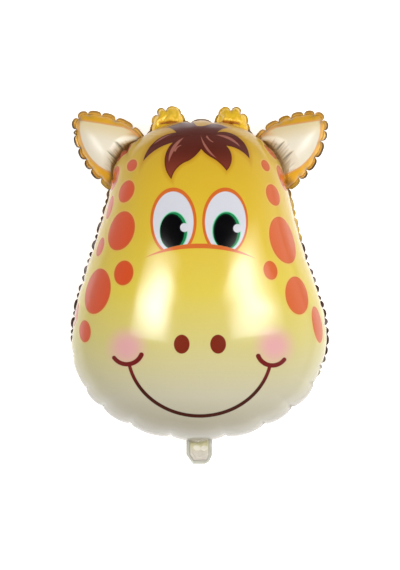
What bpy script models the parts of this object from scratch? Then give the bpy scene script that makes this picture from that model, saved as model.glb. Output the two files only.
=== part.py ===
"""A giraffe-head foil balloon, filled, lying on its back with its face up.

The balloon is one bag of film: a deep face lobe, two ears and two horns, all welded along one
crimped rim. A short filling valve of clear film hangs from the rim under the chin. Both are
closed solids here, because a filled balloon is sealed.

Metres. +X is to the right of the face, +Y runs from the chin to the horns, +Z leaves the face.
The origin is on the ground, under the middle of the balloon's length and width.
"""

import math
from typing import NamedTuple

import bmesh
import bpy
from mathutils import Matrix, Vector

# Rim plane and face lobe
RIM_HEIGHT = 0.140
HEAD_MIDDLE = 0.0087
HEAD_HALF_LENGTH = 0.2846
# Half width of the head: a plain term, then how it widens down, fills out and squares its crown
HEAD_BREADTH = (0.2085, -0.086, 0.066, 0.066)
FACE_SUMMIT = -0.064
BACK_SUMMIT = -0.030
FACE_DEPTH = 0.145
FACE_FULLNESS = 2.4
BACK_FULLNESS = 2.2
# Share of the back that its own weight presses flat
BACK_FLAT = 0.26

# Crimped rim of the head
HEAD_RIM_WIDTH = 0.0025
HEAD_RIM_LUMP = 0.0020
HEAD_RIM_PITCH = 0.015
HEAD_RIM_THICK = 0.0020
HEAD_RIM_OVERLAP = 0.012

# Ears: three corners and how far each side bows out of the straight line
EAR_ROOT_TOP = (0.1010, 0.2700)
EAR_TIP = (0.2250, 0.3060)
EAR_ROOT_LOW = (0.1590, 0.1770)
EAR_TOP_BOW = 0.0150
EAR_OUTER_BOW = 0.0205
EAR_ROOT_BOW = -0.0120
EAR_TIP_ROUNDING = 0.022
EAR_CENTRE = (0.1720, 0.2520)
EAR_DEPTH = 0.023
EAR_FULLNESS = 2.0
EAR_LEAN = math.radians(5)
EAR_RIM_WIDTH = 0.0020
EAR_RIM_LUMP = 0.0050
EAR_RIM_PITCH = 0.0215
EAR_RIM_THICK = 0.0026

# Horns: short blunt knobs behind the crown
HORN_OFFSET = 0.0570
HORN_FOOT = 0.2500
HORN_TOP = 0.31838
HORN_HALF_WIDTH = 0.0255
HORN_SQUARENESS = 2.6
HORN_DEPTH = 0.0170
HORN_FULLNESS = 2.0
HORN_LEAN = math.radians(-7)
HORN_RIM_WIDTH = 0.0015
HORN_RIM_LUMP = 0.0040
HORN_RIM_PITCH = 0.0190
HORN_RIM_THICK = 0.0030

# Filling valve under the chin
VALVE_HALF_WIDTH = 0.0225
VALVE_END = -0.3225
VALVE_CORNER = 0.010
VALVE_POCKET_DEPTH = 0.0035
VALVE_POCKET_FULLNESS = 2.6
VALVE_FILM = 0.0018
VALVE_BORDER = 0.0050
VALVE_GAP = 0.0003
# Level of the head outline, almost at the chin, whose width gives the curve of the valve's root
CHIN_LEVEL = -0.995

# Mesh steps
HEAD_STEPS = 84
OUTLINE_STEPS = 720
HORN_OUTLINE_STEPS = 120
ARC_STEPS = 24
CORNER_STEPS = 8
EAR_ROOT_STEPS = 12
VALVE_ROOT_STEPS = 8
HEAD_RIM_STEPS = 2
LOBE_RIM_STEPS = 3
FACE_RINGS = 11
BACK_RINGS = 10
EAR_RINGS = 5
HORN_RINGS = 4
VALVE_RINGS = 4
SHARP_ANGLE = math.radians(35)

# Colour, roughness and metallic value of each film
PRINTED_FILM = ((0.86, 0.66, 0.16), 0.22, 0.35)
CLEAR_FILM = ((0.86, 0.85, 0.78), 0.18, 0.05)


class Swell(NamedTuple):
    """How one sheet of film swells inside its weld line."""

    depth: float
    fullness: float
    flat: float
    rings: int


def clear_scene():
    """Start from an empty scene."""
    for thing in list(bpy.data.objects):
        bpy.data.objects.remove(thing)


def film_material(name, film):
    """A glossy film of one colour."""
    colour, roughness, metallic = film
    material = bpy.data.materials.new(name)
    material.use_nodes = True
    shader = material.node_tree.nodes["Principled BSDF"]
    shader.inputs["Base Color"].default_value = (*colour, 1.0)
    shader.inputs["Roughness"].default_value = roughness
    shader.inputs["Metallic"].default_value = metallic
    return material


def head_half_width(level):
    """Half width of the head outline at a level from -1, the chin, to 1, the crown."""
    breadth = sum(term * level**power for power, term in enumerate(HEAD_BREADTH))
    return math.sqrt(max(0.0, 1.0 - level * level)) * breadth


def head_outline(turn):
    """A point of the head's weld line: turn 0 is the crown and half a turn is the chin."""
    level = math.cos(math.tau * turn)
    side = 1.0 if math.sin(math.tau * turn) >= 0 else -1.0
    return Vector((side * head_half_width(level), HEAD_MIDDLE + HEAD_HALF_LENGTH * level))


def head_outline_points():
    """The head's weld line as a fine closed loop."""
    return [head_outline(step / OUTLINE_STEPS) for step in range(OUTLINE_STEPS)]


def arc(start, end, bow):
    """A function from 0..1 to the circular arc from start to end, bowed to its left by bow."""
    start = Vector(start)
    end = Vector(end)
    chord = end - start
    across = Vector((-chord.y, chord.x)).normalized()
    if abs(bow) < 1e-6:
        return lambda share: start.lerp(end, share)
    radius = (chord.length_squared / 4 + bow * bow) / (2 * bow)
    centre = (start + end) / 2 + across * (bow - radius)
    half_angle = math.asin(chord.length / (2 * abs(radius)))
    if bow < 0:
        half_angle = -half_angle

    def point(share):
        angle = half_angle * (1 - 2 * share)
        spoke = across * radius * math.cos(angle)
        return centre + spoke - chord.normalized() * radius * math.sin(angle)

    return point


def bridged(first, second, cut):
    """Points along two curves that meet in a corner, with the corner rounded off over cut."""
    corner = first(1.0)
    before = [first(step / ARC_STEPS) for step in range(ARC_STEPS + 1)]
    after = [second(step / ARC_STEPS) for step in range(ARC_STEPS + 1)]
    before = [point for point in before if (point - corner).length > cut]
    after = [point for point in after if (point - corner).length > cut]
    rounding = []
    for step in range(1, CORNER_STEPS):
        share = step / CORNER_STEPS
        leg = before[-1].lerp(corner, share)
        rounding.append(leg.lerp(corner.lerp(after[0], share), share))
    return before + rounding + after


def even_loop(points, count):
    """The closed loop through points, resampled at count even steps."""
    closed = points + [points[0]]
    lengths = [0.0]
    for here, there in zip(closed, closed[1:]):
        lengths.append(lengths[-1] + (there - here).length)
    loop = []
    span = 0
    for step in range(count):
        distance = lengths[-1] * step / count
        while lengths[span + 1] < distance:
            span += 1
        share = (distance - lengths[span]) / (lengths[span + 1] - lengths[span])
        loop.append(closed[span].lerp(closed[span + 1], share))
    return loop


def loop_length(points):
    """Length of the closed loop through points."""
    return sum((there - here).length for here, there in zip(points, points[1:] + points[:1]))


def outward(points):
    """Unit vectors that point out of a closed clockwise loop, one for each point."""
    normals = []
    for index in range(len(points)):
        along = points[(index + 1) % len(points)] - points[index - 1]
        normals.append(Vector((-along.y, along.x)).normalized())
    return normals


def scalloped(points, width, lump, per_scallop):
    """The loop moved out by a welded rim whose edge swells between its crimps."""
    rim = []
    for index, (point, normal) in enumerate(zip(points, outward(points))):
        swell = abs(math.sin(math.pi * index / per_scallop))
        rim.append(point + normal * (width + lump * swell))
    return rim


def add_ring(mesh, points, height):
    """One ring of vertices at a height above the rim plane."""
    return [mesh.verts.new((point.x, point.y, height)) for point in points]


def join_rings(mesh, first, second):
    """A band of faces between two rings of the same count."""
    count = len(first)
    for index in range(count):
        after = (index + 1) % count
        mesh.faces.new((first[index], first[after], second[after], second[index]))


def close_ring(mesh, ring, point, height):
    """A fan of faces from a ring to one point."""
    tip = mesh.verts.new((point.x, point.y, height))
    for index in range(len(ring)):
        mesh.faces.new((ring[index], ring[(index + 1) % len(ring)], tip))


def add_dome(mesh, ring, weld, centre, swell, base, side):
    """Close a ring on the weld line with a swollen sheet, side 1 for a face and -1 for a back."""
    last = swell.rings if swell.flat > 0 else swell.rings - 1
    for step in range(1, last + 1):
        angle = math.pi / 2 * (1 - step / swell.rings)
        bent = math.sin(angle) ** (2 / swell.fullness)
        reach = swell.flat + (1 - swell.flat) * bent
        rise = math.cos(angle) ** (2 / swell.fullness)
        points = [centre.lerp(point, reach) for point in weld]
        inner = add_ring(mesh, points, side * (base + swell.depth * rise))
        join_rings(mesh, ring, inner)
        ring = inner
    close_ring(mesh, ring, centre, side * (base + swell.depth))


def finished(mesh, name, transform):
    """A bmesh as an object, with its faces pointing out and smooth shading."""
    mesh.transform(transform)
    bmesh.ops.recalc_face_normals(mesh, faces=mesh.faces)
    data = bpy.data.meshes.new(name)
    mesh.to_mesh(data)
    mesh.free()
    data.shade_smooth()
    data.set_sharp_from_angle(angle=SHARP_ANGLE)
    thing = bpy.data.objects.new(name, data)
    bpy.context.scene.collection.objects.link(thing)
    return thing


def lobe(name, weld, rim, thick, centre, swell, transform):
    """A lobe that swells the same on both sides inside its weld line, with its flat rim."""
    mesh = bmesh.new()
    half = thick / 2
    edges = []
    for side in (1, -1):
        ring = add_ring(mesh, weld, side * half)
        outer = add_ring(mesh, rim, side * half)
        join_rings(mesh, outer, ring)
        add_dome(mesh, ring, weld, centre, swell, half, side)
        edges.append(outer)
    join_rings(mesh, *edges)
    return finished(mesh, name, transform)


def head_lobe():
    """The deep face lobe and the flatter back, pressed flat where the balloon rests."""
    weld = even_loop(head_outline_points(), HEAD_STEPS)
    face = Swell(FACE_DEPTH, FACE_FULLNESS, 0.0, FACE_RINGS)
    back = Swell(RIM_HEIGHT, BACK_FULLNESS, BACK_FLAT, BACK_RINGS)
    mesh = bmesh.new()
    edge = add_ring(mesh, weld, 0.0)
    add_dome(mesh, edge, weld, Vector((0.0, FACE_SUMMIT)), face, 0.0, 1)
    add_dome(mesh, edge, weld, Vector((0.0, BACK_SUMMIT)), back, 0.0, -1)
    return finished(mesh, "balloon_body", Matrix.Translation((0, 0, RIM_HEIGHT)))


def head_rim():
    """The narrow crimped rim that runs round the head on its weld line."""
    weld = even_loop(head_outline_points(), OUTLINE_STEPS)
    scallops = round(loop_length(weld) / HEAD_RIM_PITCH)
    weld = even_loop(weld, HEAD_RIM_STEPS * scallops)
    normals = outward(weld)
    outer = scalloped(weld, HEAD_RIM_WIDTH, HEAD_RIM_LUMP, HEAD_RIM_STEPS)
    for index, point in enumerate(weld):
        if abs(point.x) < VALVE_HALF_WIDTH + HEAD_RIM_PITCH and point.y < 0:
            outer[index] = point + normals[index] * HEAD_RIM_WIDTH
    inner = [point - normal * HEAD_RIM_OVERLAP for point, normal in zip(weld, normals)]
    mesh = bmesh.new()
    half = HEAD_RIM_THICK / 2
    rings = [
        add_ring(mesh, inner, half),
        add_ring(mesh, outer, half),
        add_ring(mesh, outer, -half),
        add_ring(mesh, inner, -half),
    ]
    for first, second in zip(rings, rings[1:] + rings[:1]):
        join_rings(mesh, first, second)
    return finished(mesh, "head_rim", Matrix.Translation((0, 0, RIM_HEIGHT)))


def leaned(pivot, axis, angle):
    """Turn a lobe about a line through pivot in the rim plane, and lift it to the rim height."""
    to_pivot = Matrix.Translation((pivot[0], pivot[1], 0))
    turned = to_pivot @ Matrix.Rotation(angle, 4, axis) @ to_pivot.inverted()
    return Matrix.Translation((0, 0, RIM_HEIGHT)) @ turned


def ear(side):
    """One ear: a leaf-shaped lobe with a scalloped rim, side 1 for +X and -1 for -X."""
    top = arc(EAR_ROOT_TOP, EAR_TIP, EAR_TOP_BOW)
    outer = arc(EAR_TIP, EAR_ROOT_LOW, EAR_OUTER_BOW)
    root = arc(EAR_ROOT_LOW, EAR_ROOT_TOP, EAR_ROOT_BOW)
    outline = bridged(top, outer, EAR_TIP_ROUNDING)
    outline += [root(step / EAR_ROOT_STEPS) for step in range(1, EAR_ROOT_STEPS)]
    scallops = round(loop_length(outline) / EAR_RIM_PITCH)
    weld = even_loop(outline, LOBE_RIM_STEPS * scallops)
    rim = scalloped(weld, EAR_RIM_WIDTH, EAR_RIM_LUMP, LOBE_RIM_STEPS)
    hinge = Vector(EAR_ROOT_LOW) - Vector(EAR_ROOT_TOP)
    lean = leaned(EAR_ROOT_TOP, Vector((hinge.x, hinge.y, 0)), EAR_LEAN)
    mirrored = Matrix.Diagonal((side, 1, 1, 1))
    swell = Swell(EAR_DEPTH, EAR_FULLNESS, 0.0, EAR_RINGS)
    return lobe(f"ear_{side}", weld, rim, EAR_RIM_THICK, Vector(EAR_CENTRE), swell, mirrored @ lean)


def squared(value):
    """A sine or cosine pushed outwards, so a circle turns into a blunt oval."""
    return math.copysign(abs(value) ** (2 / HORN_SQUARENESS), value)


def horn_outline():
    """A blunt oval, its foot inside the head and its top past the crown."""
    middle = (HORN_TOP + HORN_FOOT) / 2
    half_length = (HORN_TOP - HORN_FOOT) / 2
    points = []
    for step in range(HORN_OUTLINE_STEPS):
        angle = math.tau * step / HORN_OUTLINE_STEPS
        across = HORN_OFFSET + HORN_HALF_WIDTH * squared(math.sin(angle))
        points.append(Vector((across, middle + half_length * squared(math.cos(angle)))))
    return points


def horn(side):
    """One horn: a short knob-shaped lobe behind the crown."""
    outline = horn_outline()
    scallops = round(loop_length(outline) / HORN_RIM_PITCH)
    weld = even_loop(outline, LOBE_RIM_STEPS * scallops)
    rim = scalloped(weld, HORN_RIM_WIDTH, HORN_RIM_LUMP, LOBE_RIM_STEPS)
    centre = Vector((HORN_OFFSET, (HORN_TOP + HORN_FOOT) / 2))
    lean = leaned((HORN_OFFSET, HORN_FOOT), Vector((1, 0, 0)), HORN_LEAN)
    mirrored = Matrix.Diagonal((side, 1, 1, 1))
    swell = Swell(HORN_DEPTH, HORN_FULLNESS, 0.0, HORN_RINGS)
    return lobe(f"horn_{side}", weld, rim, HORN_RIM_THICK, centre, swell, mirrored @ lean)


def united(body, others):
    """Join solids that really meet into one, and drop the pieces it was made from."""
    for other in others:
        union = body.modifiers.new(other.name, "BOOLEAN")
        union.operation = "UNION"
        union.solver = "EXACT"
        union.object = other
    bpy.context.view_layer.update()
    graph = bpy.context.evaluated_depsgraph_get()
    whole = bpy.data.meshes.new_from_object(body.evaluated_get(graph))
    body.modifiers.clear()
    body.data = whole
    for other in others:
        bpy.data.objects.remove(other)
    whole.shade_smooth()
    whole.set_sharp_from_angle(angle=SHARP_ANGLE)
    return body


def valve_outline():
    """The valve's flat outline: its root follows the rim of the chin, its end has cut corners."""
    points = []
    for step in range(VALVE_ROOT_STEPS + 1):
        across = -VALVE_HALF_WIDTH + 2 * VALVE_HALF_WIDTH * step / VALVE_ROOT_STEPS
        chin = (across / head_half_width(CHIN_LEVEL)) ** 2 * (1 + CHIN_LEVEL) * HEAD_HALF_LENGTH
        root = HEAD_MIDDLE - HEAD_HALF_LENGTH - HEAD_RIM_WIDTH - VALVE_GAP
        points.append(Vector((across, root + chin)))
    points.append(Vector((VALVE_HALF_WIDTH, VALVE_END + VALVE_CORNER)))
    points.append(Vector((VALVE_HALF_WIDTH - VALVE_CORNER, VALVE_END)))
    points.append(Vector((-VALVE_HALF_WIDTH + VALVE_CORNER, VALVE_END)))
    points.append(Vector((-VALVE_HALF_WIDTH, VALVE_END + VALVE_CORNER)))
    return points


def valve():
    """The filling valve: a flat tail of clear film with a slightly filled pocket."""
    outline = valve_outline()
    middle = Vector((0, sum(point.y for point in outline) / len(outline)))
    inset = [point - (point - middle).normalized() * VALVE_BORDER for point in outline]
    swell = Swell(VALVE_POCKET_DEPTH, VALVE_POCKET_FULLNESS, 0.0, VALVE_RINGS)
    lift = Matrix.Translation((0, 0, RIM_HEIGHT))
    return lobe("filling_valve", inset, outline, VALVE_FILM, middle, swell, lift)


def main():
    """Build the balloon and its valve."""
    clear_scene()
    lobes = [head_rim(), ear(1), ear(-1), horn(1), horn(-1)]
    body = united(head_lobe(), lobes)
    body.data.materials.append(film_material("printed_film", PRINTED_FILM))
    valve().data.materials.append(film_material("clear_film", CLEAR_FILM))


main()
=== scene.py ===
"""Dresses the giraffe-head foil balloon: crimped film bags, their print, and a small studio.

The balloon lies on its back. Each lobe of it, the head, an ear or a horn, is a bag of two film
sheets that are welded along one outline. The film near a weld has more length than room, so it
puckers there. The print is laid over the smooth bag and stays on the film when it puckers.

Lengths are in metres, except in the print, whose places and sizes are in millimetres on the weld
plane, as the camera sees them.
"""

import logging
import math
from collections.abc import Iterable, Sequence
from dataclasses import dataclass, field
from enum import Enum
from functools import reduce

import bpy
import numpy as np
from mathutils import Matrix, Quaternion, Vector

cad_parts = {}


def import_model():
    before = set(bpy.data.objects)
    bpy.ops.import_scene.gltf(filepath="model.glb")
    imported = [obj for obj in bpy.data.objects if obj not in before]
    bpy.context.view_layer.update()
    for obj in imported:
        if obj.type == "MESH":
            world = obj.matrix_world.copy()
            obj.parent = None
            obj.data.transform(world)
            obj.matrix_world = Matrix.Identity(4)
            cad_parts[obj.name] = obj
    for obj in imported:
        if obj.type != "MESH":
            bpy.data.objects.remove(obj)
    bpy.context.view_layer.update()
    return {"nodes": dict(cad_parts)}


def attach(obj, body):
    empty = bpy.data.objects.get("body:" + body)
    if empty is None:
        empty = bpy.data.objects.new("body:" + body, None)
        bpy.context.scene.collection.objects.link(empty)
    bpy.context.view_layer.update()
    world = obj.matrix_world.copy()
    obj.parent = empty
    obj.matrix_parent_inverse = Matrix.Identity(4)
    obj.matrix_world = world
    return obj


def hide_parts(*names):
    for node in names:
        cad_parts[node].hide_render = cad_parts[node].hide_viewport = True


log = logging.getLogger("balloon")

Array = np.ndarray
Colour = tuple[float, float, float]
Point = tuple[float, float]
Socket = bpy.types.NodeSocket

MM = 0.001
WELD_HEIGHT = 0.140


class Side(Enum):
    """Which side of the face a piece is on, as the face is looked at."""

    LEFT = -1
    RIGHT = 1

    @property
    def label(self) -> str:
        """Start of the names of this side's pieces."""
        return self.name.lower()

    def mirror(self) -> Matrix:
        """What moves a lobe of the right side to this side."""
        return Matrix.Diagonal((self.value, 1, 1, 1))


def by_side(left: object, right: object) -> object:
    """A dataclass field with a value for each side of the face."""
    return field(default_factory=lambda: {Side.LEFT: left, Side.RIGHT: right})


class Sheet(Enum):
    """The two film sheets of a bag."""

    FACE = 1
    BACK = -1


@dataclass(frozen=True)
class ViewingPoint:
    """Where the camera stands over the balloon.

    Attributes:
        distance: From the weld plane to the camera.
        frame_height: Height of the picture, measured on the weld plane.
    """

    distance: float = 2.6
    frame_height: float = 1.026

    def seen(self, points: Array) -> Array:
        """Where points show on the weld plane, in millimetres and without their height."""
        nearer = self.distance / (self.distance - (points[..., 2:] - WELD_HEIGHT))
        return points[..., :2] * nearer / MM


VIEW = ViewingPoint()


def eased(share: Array) -> Array:
    """Shares with a soft start and end, and with what is past 0 or 1 cut off."""
    kept = np.clip(share, 0, 1)
    return kept * kept * (3 - 2 * kept)


def past(turn: Array, middle: float) -> Array:
    """How far turns are past a middle turn, the short way round."""
    return np.mod(turn - middle + 0.5, 1.0) - 0.5


# Bags of film


class Outline:
    """A closed line in the weld plane that is measured by turns, from 0 to 1 clockwise."""

    STRETCH = 0.002

    def __init__(self, points: Array) -> None:
        """Measure the line.

        Args:
            points: Corners of the closed line, clockwise, one row each.
        """
        self._points = np.vstack([points, points[:1]])
        steps = np.linalg.norm(np.diff(self._points, axis=0), axis=1)
        self.length = float(steps.sum())
        self._turns = np.concatenate([[0.0], np.cumsum(steps)]) / self.length

    def at(self, turn: Array) -> Array:
        """Points of the line.

        Args:
            turn: Any array of turns.

        Returns:
            The points, with x and y on a new last axis.
        """
        around = np.mod(turn, 1.0)
        axes = [np.interp(around, self._turns, self._points[:, axis]) for axis in (0, 1)]
        return np.stack(axes, axis=-1)

    def outward(self, turn: Array) -> Array:
        """Unit vectors out of the line, each squared to a short stretch of it.

        Args:
            turn: Any array of turns.

        Returns:
            The vectors, with x and y on a new last axis.
        """
        stretch = self.STRETCH / self.length
        along = self.at(turn + stretch) - self.at(turn - stretch)
        across = np.stack([-along[..., 1], along[..., 0]], axis=-1)
        return across / np.linalg.norm(across, axis=-1, keepdims=True)


class DiscGrid:
    """A square net of rings that maps onto a disc without a pole.

    Ring 0 is the middle point and the last ring is the square's edge. Every point has a ring
    and a turn.
    """

    def __init__(self, rings: int) -> None:
        """Number the net.

        Args:
            rings: Count of rings round the middle point.
        """
        self.rings = rings
        self.side = 2 * rings + 1
        steps = np.arange(-rings, rings + 1)
        across, up = np.meshgrid(steps, steps, indexing="ij")
        self.ring = edge = np.maximum(abs(across), abs(up))
        sides = {
            "top": (up == edge) & (across >= 0),
            "right": (across == edge) & (across > 0),
            "bottom": (up == -edge) & (up < 0),
            "left": (across == -edge) & (across < 0),
        }
        travelled = [across, 2 * edge - up, 4 * edge - across, 6 * edge + up]
        travelled = np.select(list(sides.values()), travelled, 8 * edge + across)
        self.turn = travelled / np.maximum(8 * edge, 1)

    def border(self) -> tuple[Array, Array]:
        """The net's edge points, in the order of their turns.

        Returns:
            Their rows and their columns.
        """
        rows, columns = np.nonzero(self.ring == self.rings)
        order = np.argsort(self.turn[rows, columns], kind="stable")
        return rows[order], columns[order]


@dataclass(frozen=True)
class Swell:
    """How one sheet of film swells inside its weld line.

    Attributes:
        depth: Height of its summit over the weld plane.
        fullness: Exponent of its profile; 2 is an ellipse and more is squarer.
        flat: Share of the sheet round the summit that is pressed flat.
        roll: Extra fullness towards one part of the weld.
        roll_turn: Middle turn of that part.
        roll_spread: How far it spreads to each side, in turns.
        steps: Number of points that a profile is measured at.
    """

    depth: float
    fullness: float
    flat: float = 0.0
    roll: float = 0.0
    roll_turn: float = 0.0
    roll_spread: float = 0.1
    steps: int = 600

    def profiles(self, turns: Array, radius: Array, rings: int) -> tuple[Array, Array, Array]:
        """Profiles from the summit to the weld, in even steps along the film.

        Args:
            turns: Turn of each profile.
            radius: Distance from the summit to the weld of each profile.
            rings: How many steps.

        Returns:
            Share of the way out, share of the depth and length of film up to each step, with one
            row for each profile.
        """
        near = np.exp(-((past(turns, self.roll_turn) / self.roll_spread) ** 2))
        power = 2 / (self.fullness + self.roll * near)[:, None]
        angle = np.linspace(0, math.pi / 2, self.steps)[None]
        out = self.flat + (1 - self.flat) * np.sin(angle) ** power
        rise = np.cos(angle) ** power
        out[:, 0] = 0.0
        legs = np.hypot(np.diff(out) * radius[:, None], np.diff(rise) * self.depth)
        travelled = np.concatenate([np.zeros((len(turns), 1)), np.cumsum(legs, axis=1)], axis=1)
        even = np.linspace(0, 1, rings + 1)
        rows = []
        for row, length in enumerate(travelled[:, -1]):
            along = even * length
            outs = np.interp(along, travelled[row], out[row])
            rises = np.interp(along, travelled[row], rise[row])
            rows.append((outs, rises, along))
        return tuple(np.array(part) for part in zip(*rows))


@dataclass(frozen=True)
class Pucker:
    """A crease that runs from a cut in the weld up the film.

    Attributes:
        turn: Where it leaves the weld.
        depth: How far it cuts in at the weld.
        width: Half its width at the weld.
        run: How far up the film it goes.
        lean: Sideways drift for each unit of run.
        widening: How much wider it is at its far end, as a share of its width.
        falling: How fast its depth falls along its run; 1 is evenly.
    """

    turn: float
    depth: float
    width: float
    run: float
    lean: float = 0.0
    widening: float = 0.4
    falling: float = 1.3

    def sink(self, turn: Array, inland: Array, length: float) -> Array:
        """How deep it is.

        Args:
            turn: Turn of each point of the film.
            inland: Distance of each point from the weld along the film.
            length: Length of the weld.

        Returns:
            Its depth at each point.
        """
        sideways = past(turn, self.turn) * length - self.lean * inland
        left = np.clip(1 - inland / self.run, 0, 1)
        width = self.width * (1 + self.widening * (1 - left))
        return self.depth * left**self.falling * np.clip(1 - abs(sideways) / width, 0, 1) ** 2


@dataclass(frozen=True)
class PuckerRow:
    """A row of puckers along part of a weld.

    Attributes:
        first: Turn at which the row starts.
        last: Turn at which it ends.
        pitch: Mean distance between puckers.
        depth: Mean depth.
        run: Mean run up the film.
        strong_every: One pucker in so many is cut deeper and runs further.
        strong: How much deeper and further.
        width: Half a pucker's mean width, as a share of the pitch.
        shift: How far a pucker is out of its place at most, as a share of the pitch.
        spread: How much its depth and run differ from the mean at most.
        width_spread: How much its width differs from the mean at most.
        lean: How far it leans at most.
    """

    first: float
    last: float
    pitch: float
    depth: float
    run: float
    strong_every: int = 4
    strong: float = 1.6
    width: float = 0.60
    shift: float = 0.24
    spread: float = 0.35
    width_spread: float = 0.15
    lean: float = 0.25

    def puckers(self, length: float, draw: np.random.Generator) -> list[Pucker]:
        """Draw the row's puckers.

        Args:
            length: Length of the weld.
            draw: Source of the row's chance values.

        Returns:
            The puckers, in order along the weld.
        """
        count = max(1, round((self.last - self.first) * length / self.pitch))
        step = (self.last - self.first) / count
        row = []
        for index in range(count):
            shift, deeper, wider, further, lean = draw.uniform(-1, 1, 5)
            strong = self.strong if index % self.strong_every == self.strong_every // 2 else 1.0
            row.append(
                Pucker(
                    turn=self.first + step * (index + 0.5 + self.shift * shift),
                    depth=self.depth * strong * (1 + self.spread * deeper),
                    width=self.pitch * self.width * (1 + self.width_spread * wider),
                    run=self.run * strong * (1 + self.spread * further),
                    lean=self.lean * lean,
                )
            )
        return row


@dataclass(frozen=True)
class Shoulder:
    """A soft bulge of the film beside part of the weld.

    Attributes:
        turn: Middle turn of that part.
        height: How far it bulges at the weld.
        spread: How far it spreads to each side, in turns.
        run: How far up the film it goes.
    """

    turn: float
    height: float
    spread: float
    run: float

    def lift(self, turn: Array, inland: Array) -> Array:
        """How far it moves points of the film outwards."""
        near = np.exp(-((past(turn, self.turn) / self.spread) ** 2))
        return self.height * near * eased(1 - inland / self.run)


@dataclass(frozen=True)
class Scallop:
    """A rounded bulge of the film between two cuts in the weld.

    Attributes:
        first: Turn of the cut where it starts.
        last: Turn of the cut where it ends.
        height: How far it bulges in its middle, at the weld.
        run: How far up the film it goes.
        roundness: Exponent of its shape; 1 is a parabola and less is squarer.
    """

    first: float
    last: float
    height: float
    run: float = 0.140
    roundness: float = 0.7

    def lift(self, turn: Array, inland: Array) -> Array:
        """How far it moves points of the film outwards.

        Args:
            turn: Turn of each point of the film.
            inland: Distance of each point from the weld along the film.

        Returns:
            The movement of each point.
        """
        share = np.clip((turn - self.first) / (self.last - self.first), 0, 1)
        bulge = (4 * share * (1 - share)) ** self.roundness
        return self.height * bulge * eased(1 - inland / self.run)


@dataclass(frozen=True)
class Plump:
    """Extra fullness of the film just inside part of the weld.

    Attributes:
        turn: Middle turn of that part.
        height: How far it bulges.
        spread: How far it spreads to each side, in turns.
    """

    turn: float
    height: float
    spread: float

    def at(self, turn: Array) -> Array:
        """How far it bulges at each turn."""
        return self.height * eased(1 - abs(past(turn, self.turn)) / self.spread)


@dataclass(frozen=True)
class Fold:
    """A crease or a rounded ridge that runs across the film, away from the weld.

    Attributes:
        path: Places that it runs through, on the film laid out flat.
        depth: How far it sinks in; a negative depth is a rounded ridge.
        width: Half its width at its end.
        start_width: Half its width at its start, as a share of that at its end.
        power: How sharply it deepens towards its middle; 1 has a crisp border.
        dark: How dark the painted shade at its bottom is, as a share of that of a crease.
    """

    path: tuple[Point, ...]
    depth: float
    width: float
    start_width: float = 1.0
    power: float = 2.0
    dark: float = 1.0

    def sink(self, laid: Array) -> Array:
        """How far the fold moves points of the film.

        Args:
            laid: Places of the points on the film laid out flat.

        Returns:
            The movement of each point, negative inwards.
        """
        places = np.array(self.path)
        nearest = np.full(laid.shape[:-1], np.inf)
        passed = np.zeros(laid.shape[:-1])
        for index, (first, last) in enumerate(zip(places, places[1:])):
            along = last - first
            share = np.clip(((laid[..., :2] - first) @ along) / float(along @ along), 0, 1)
            away = np.linalg.norm(laid[..., :2] - first - share[..., None] * along, axis=-1)
            passed = np.where(away < nearest, (index + share) / (len(places) - 1), passed)
            nearest = np.minimum(nearest, away)
        width = self.width * (self.start_width + (1 - self.start_width) * passed)
        near = np.clip(1 - nearest / width, 0, 1)
        profile = near**self.power if self.depth > 0 else eased(near)
        return -self.depth * profile * np.clip(4 * passed * (1 - passed), 0, 1)


@dataclass(frozen=True)
class Rim:
    """The welded rim outside a weld line.

    Attributes:
        width: Width between cuts.
        notch: Half the width of a cut.
        thick: Thickness of the two welded layers.
        tilt: How far its lobes lean up or down at their edge.
        bare: Stretches of the weld, in turns, that have no rim.
        whole: Stretches whose rim is wider and has hardly any cuts.
        whole_width: Width of those stretches, as a share of the rest.
        whole_notch: Depth of their cuts, as a share of the rest.
        fade: How far such a stretch takes to begin and to end, in turns.
        stations: Places across it, as shares of its width, and the share of the lean there.
        deepest: Share of its width that its deepest cut takes away.
    """

    width: float
    notch: float
    thick: float = 0.0006
    tilt: float = 0.0016
    bare: tuple[Point, ...] = ()
    whole: tuple[Point, ...] = ()
    whole_width: float = 1.1
    whole_notch: float = 0.1
    fade: float = 0.012
    stations: tuple[Point, ...] = ((-0.4, 0.0), (0.35, 0.5), (0.75, 0.9), (1.0, 1.0))
    deepest: float = 0.94

    def left(self, turn: Array, puckers: Sequence[Pucker], length: float) -> Array:
        """How much of the rim's width there is.

        Args:
            turn: Turn of each point.
            puckers: The creases that run in from the weld.
            length: Length of the weld.

        Returns:
            The share of its width at each point.
        """
        wide = np.ones(turn.shape)
        for first, last in self.bare:
            outside = abs(past(turn, (first + last) / 2)) - (last - first) / 2
            wide = np.minimum(wide, np.clip(outside / self.fade, 0, 1))
        for first, last in self.whole:
            inside = np.clip(np.minimum(turn - first, last - turn) / self.fade, 0, 1)
            wide = wide * (1 + (self.whole_width - 1) * inside)
        strongest = max(pucker.depth for pucker in puckers)
        for pucker in puckers:
            apart = abs(past(turn, pucker.turn)) * length
            near = np.clip(1 - apart / min(self.notch, pucker.width), 0, 1)
            notch = 1 - np.sqrt(np.clip(1 - near * near, 0, 1))
            if any(first < pucker.turn < last for first, last in self.whole):
                notch = self.whole_notch * notch
            wide = wide * (1 - min(self.deepest, 0.5 + 0.5 * pucker.depth / strongest) * notch)
        return wide


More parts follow.
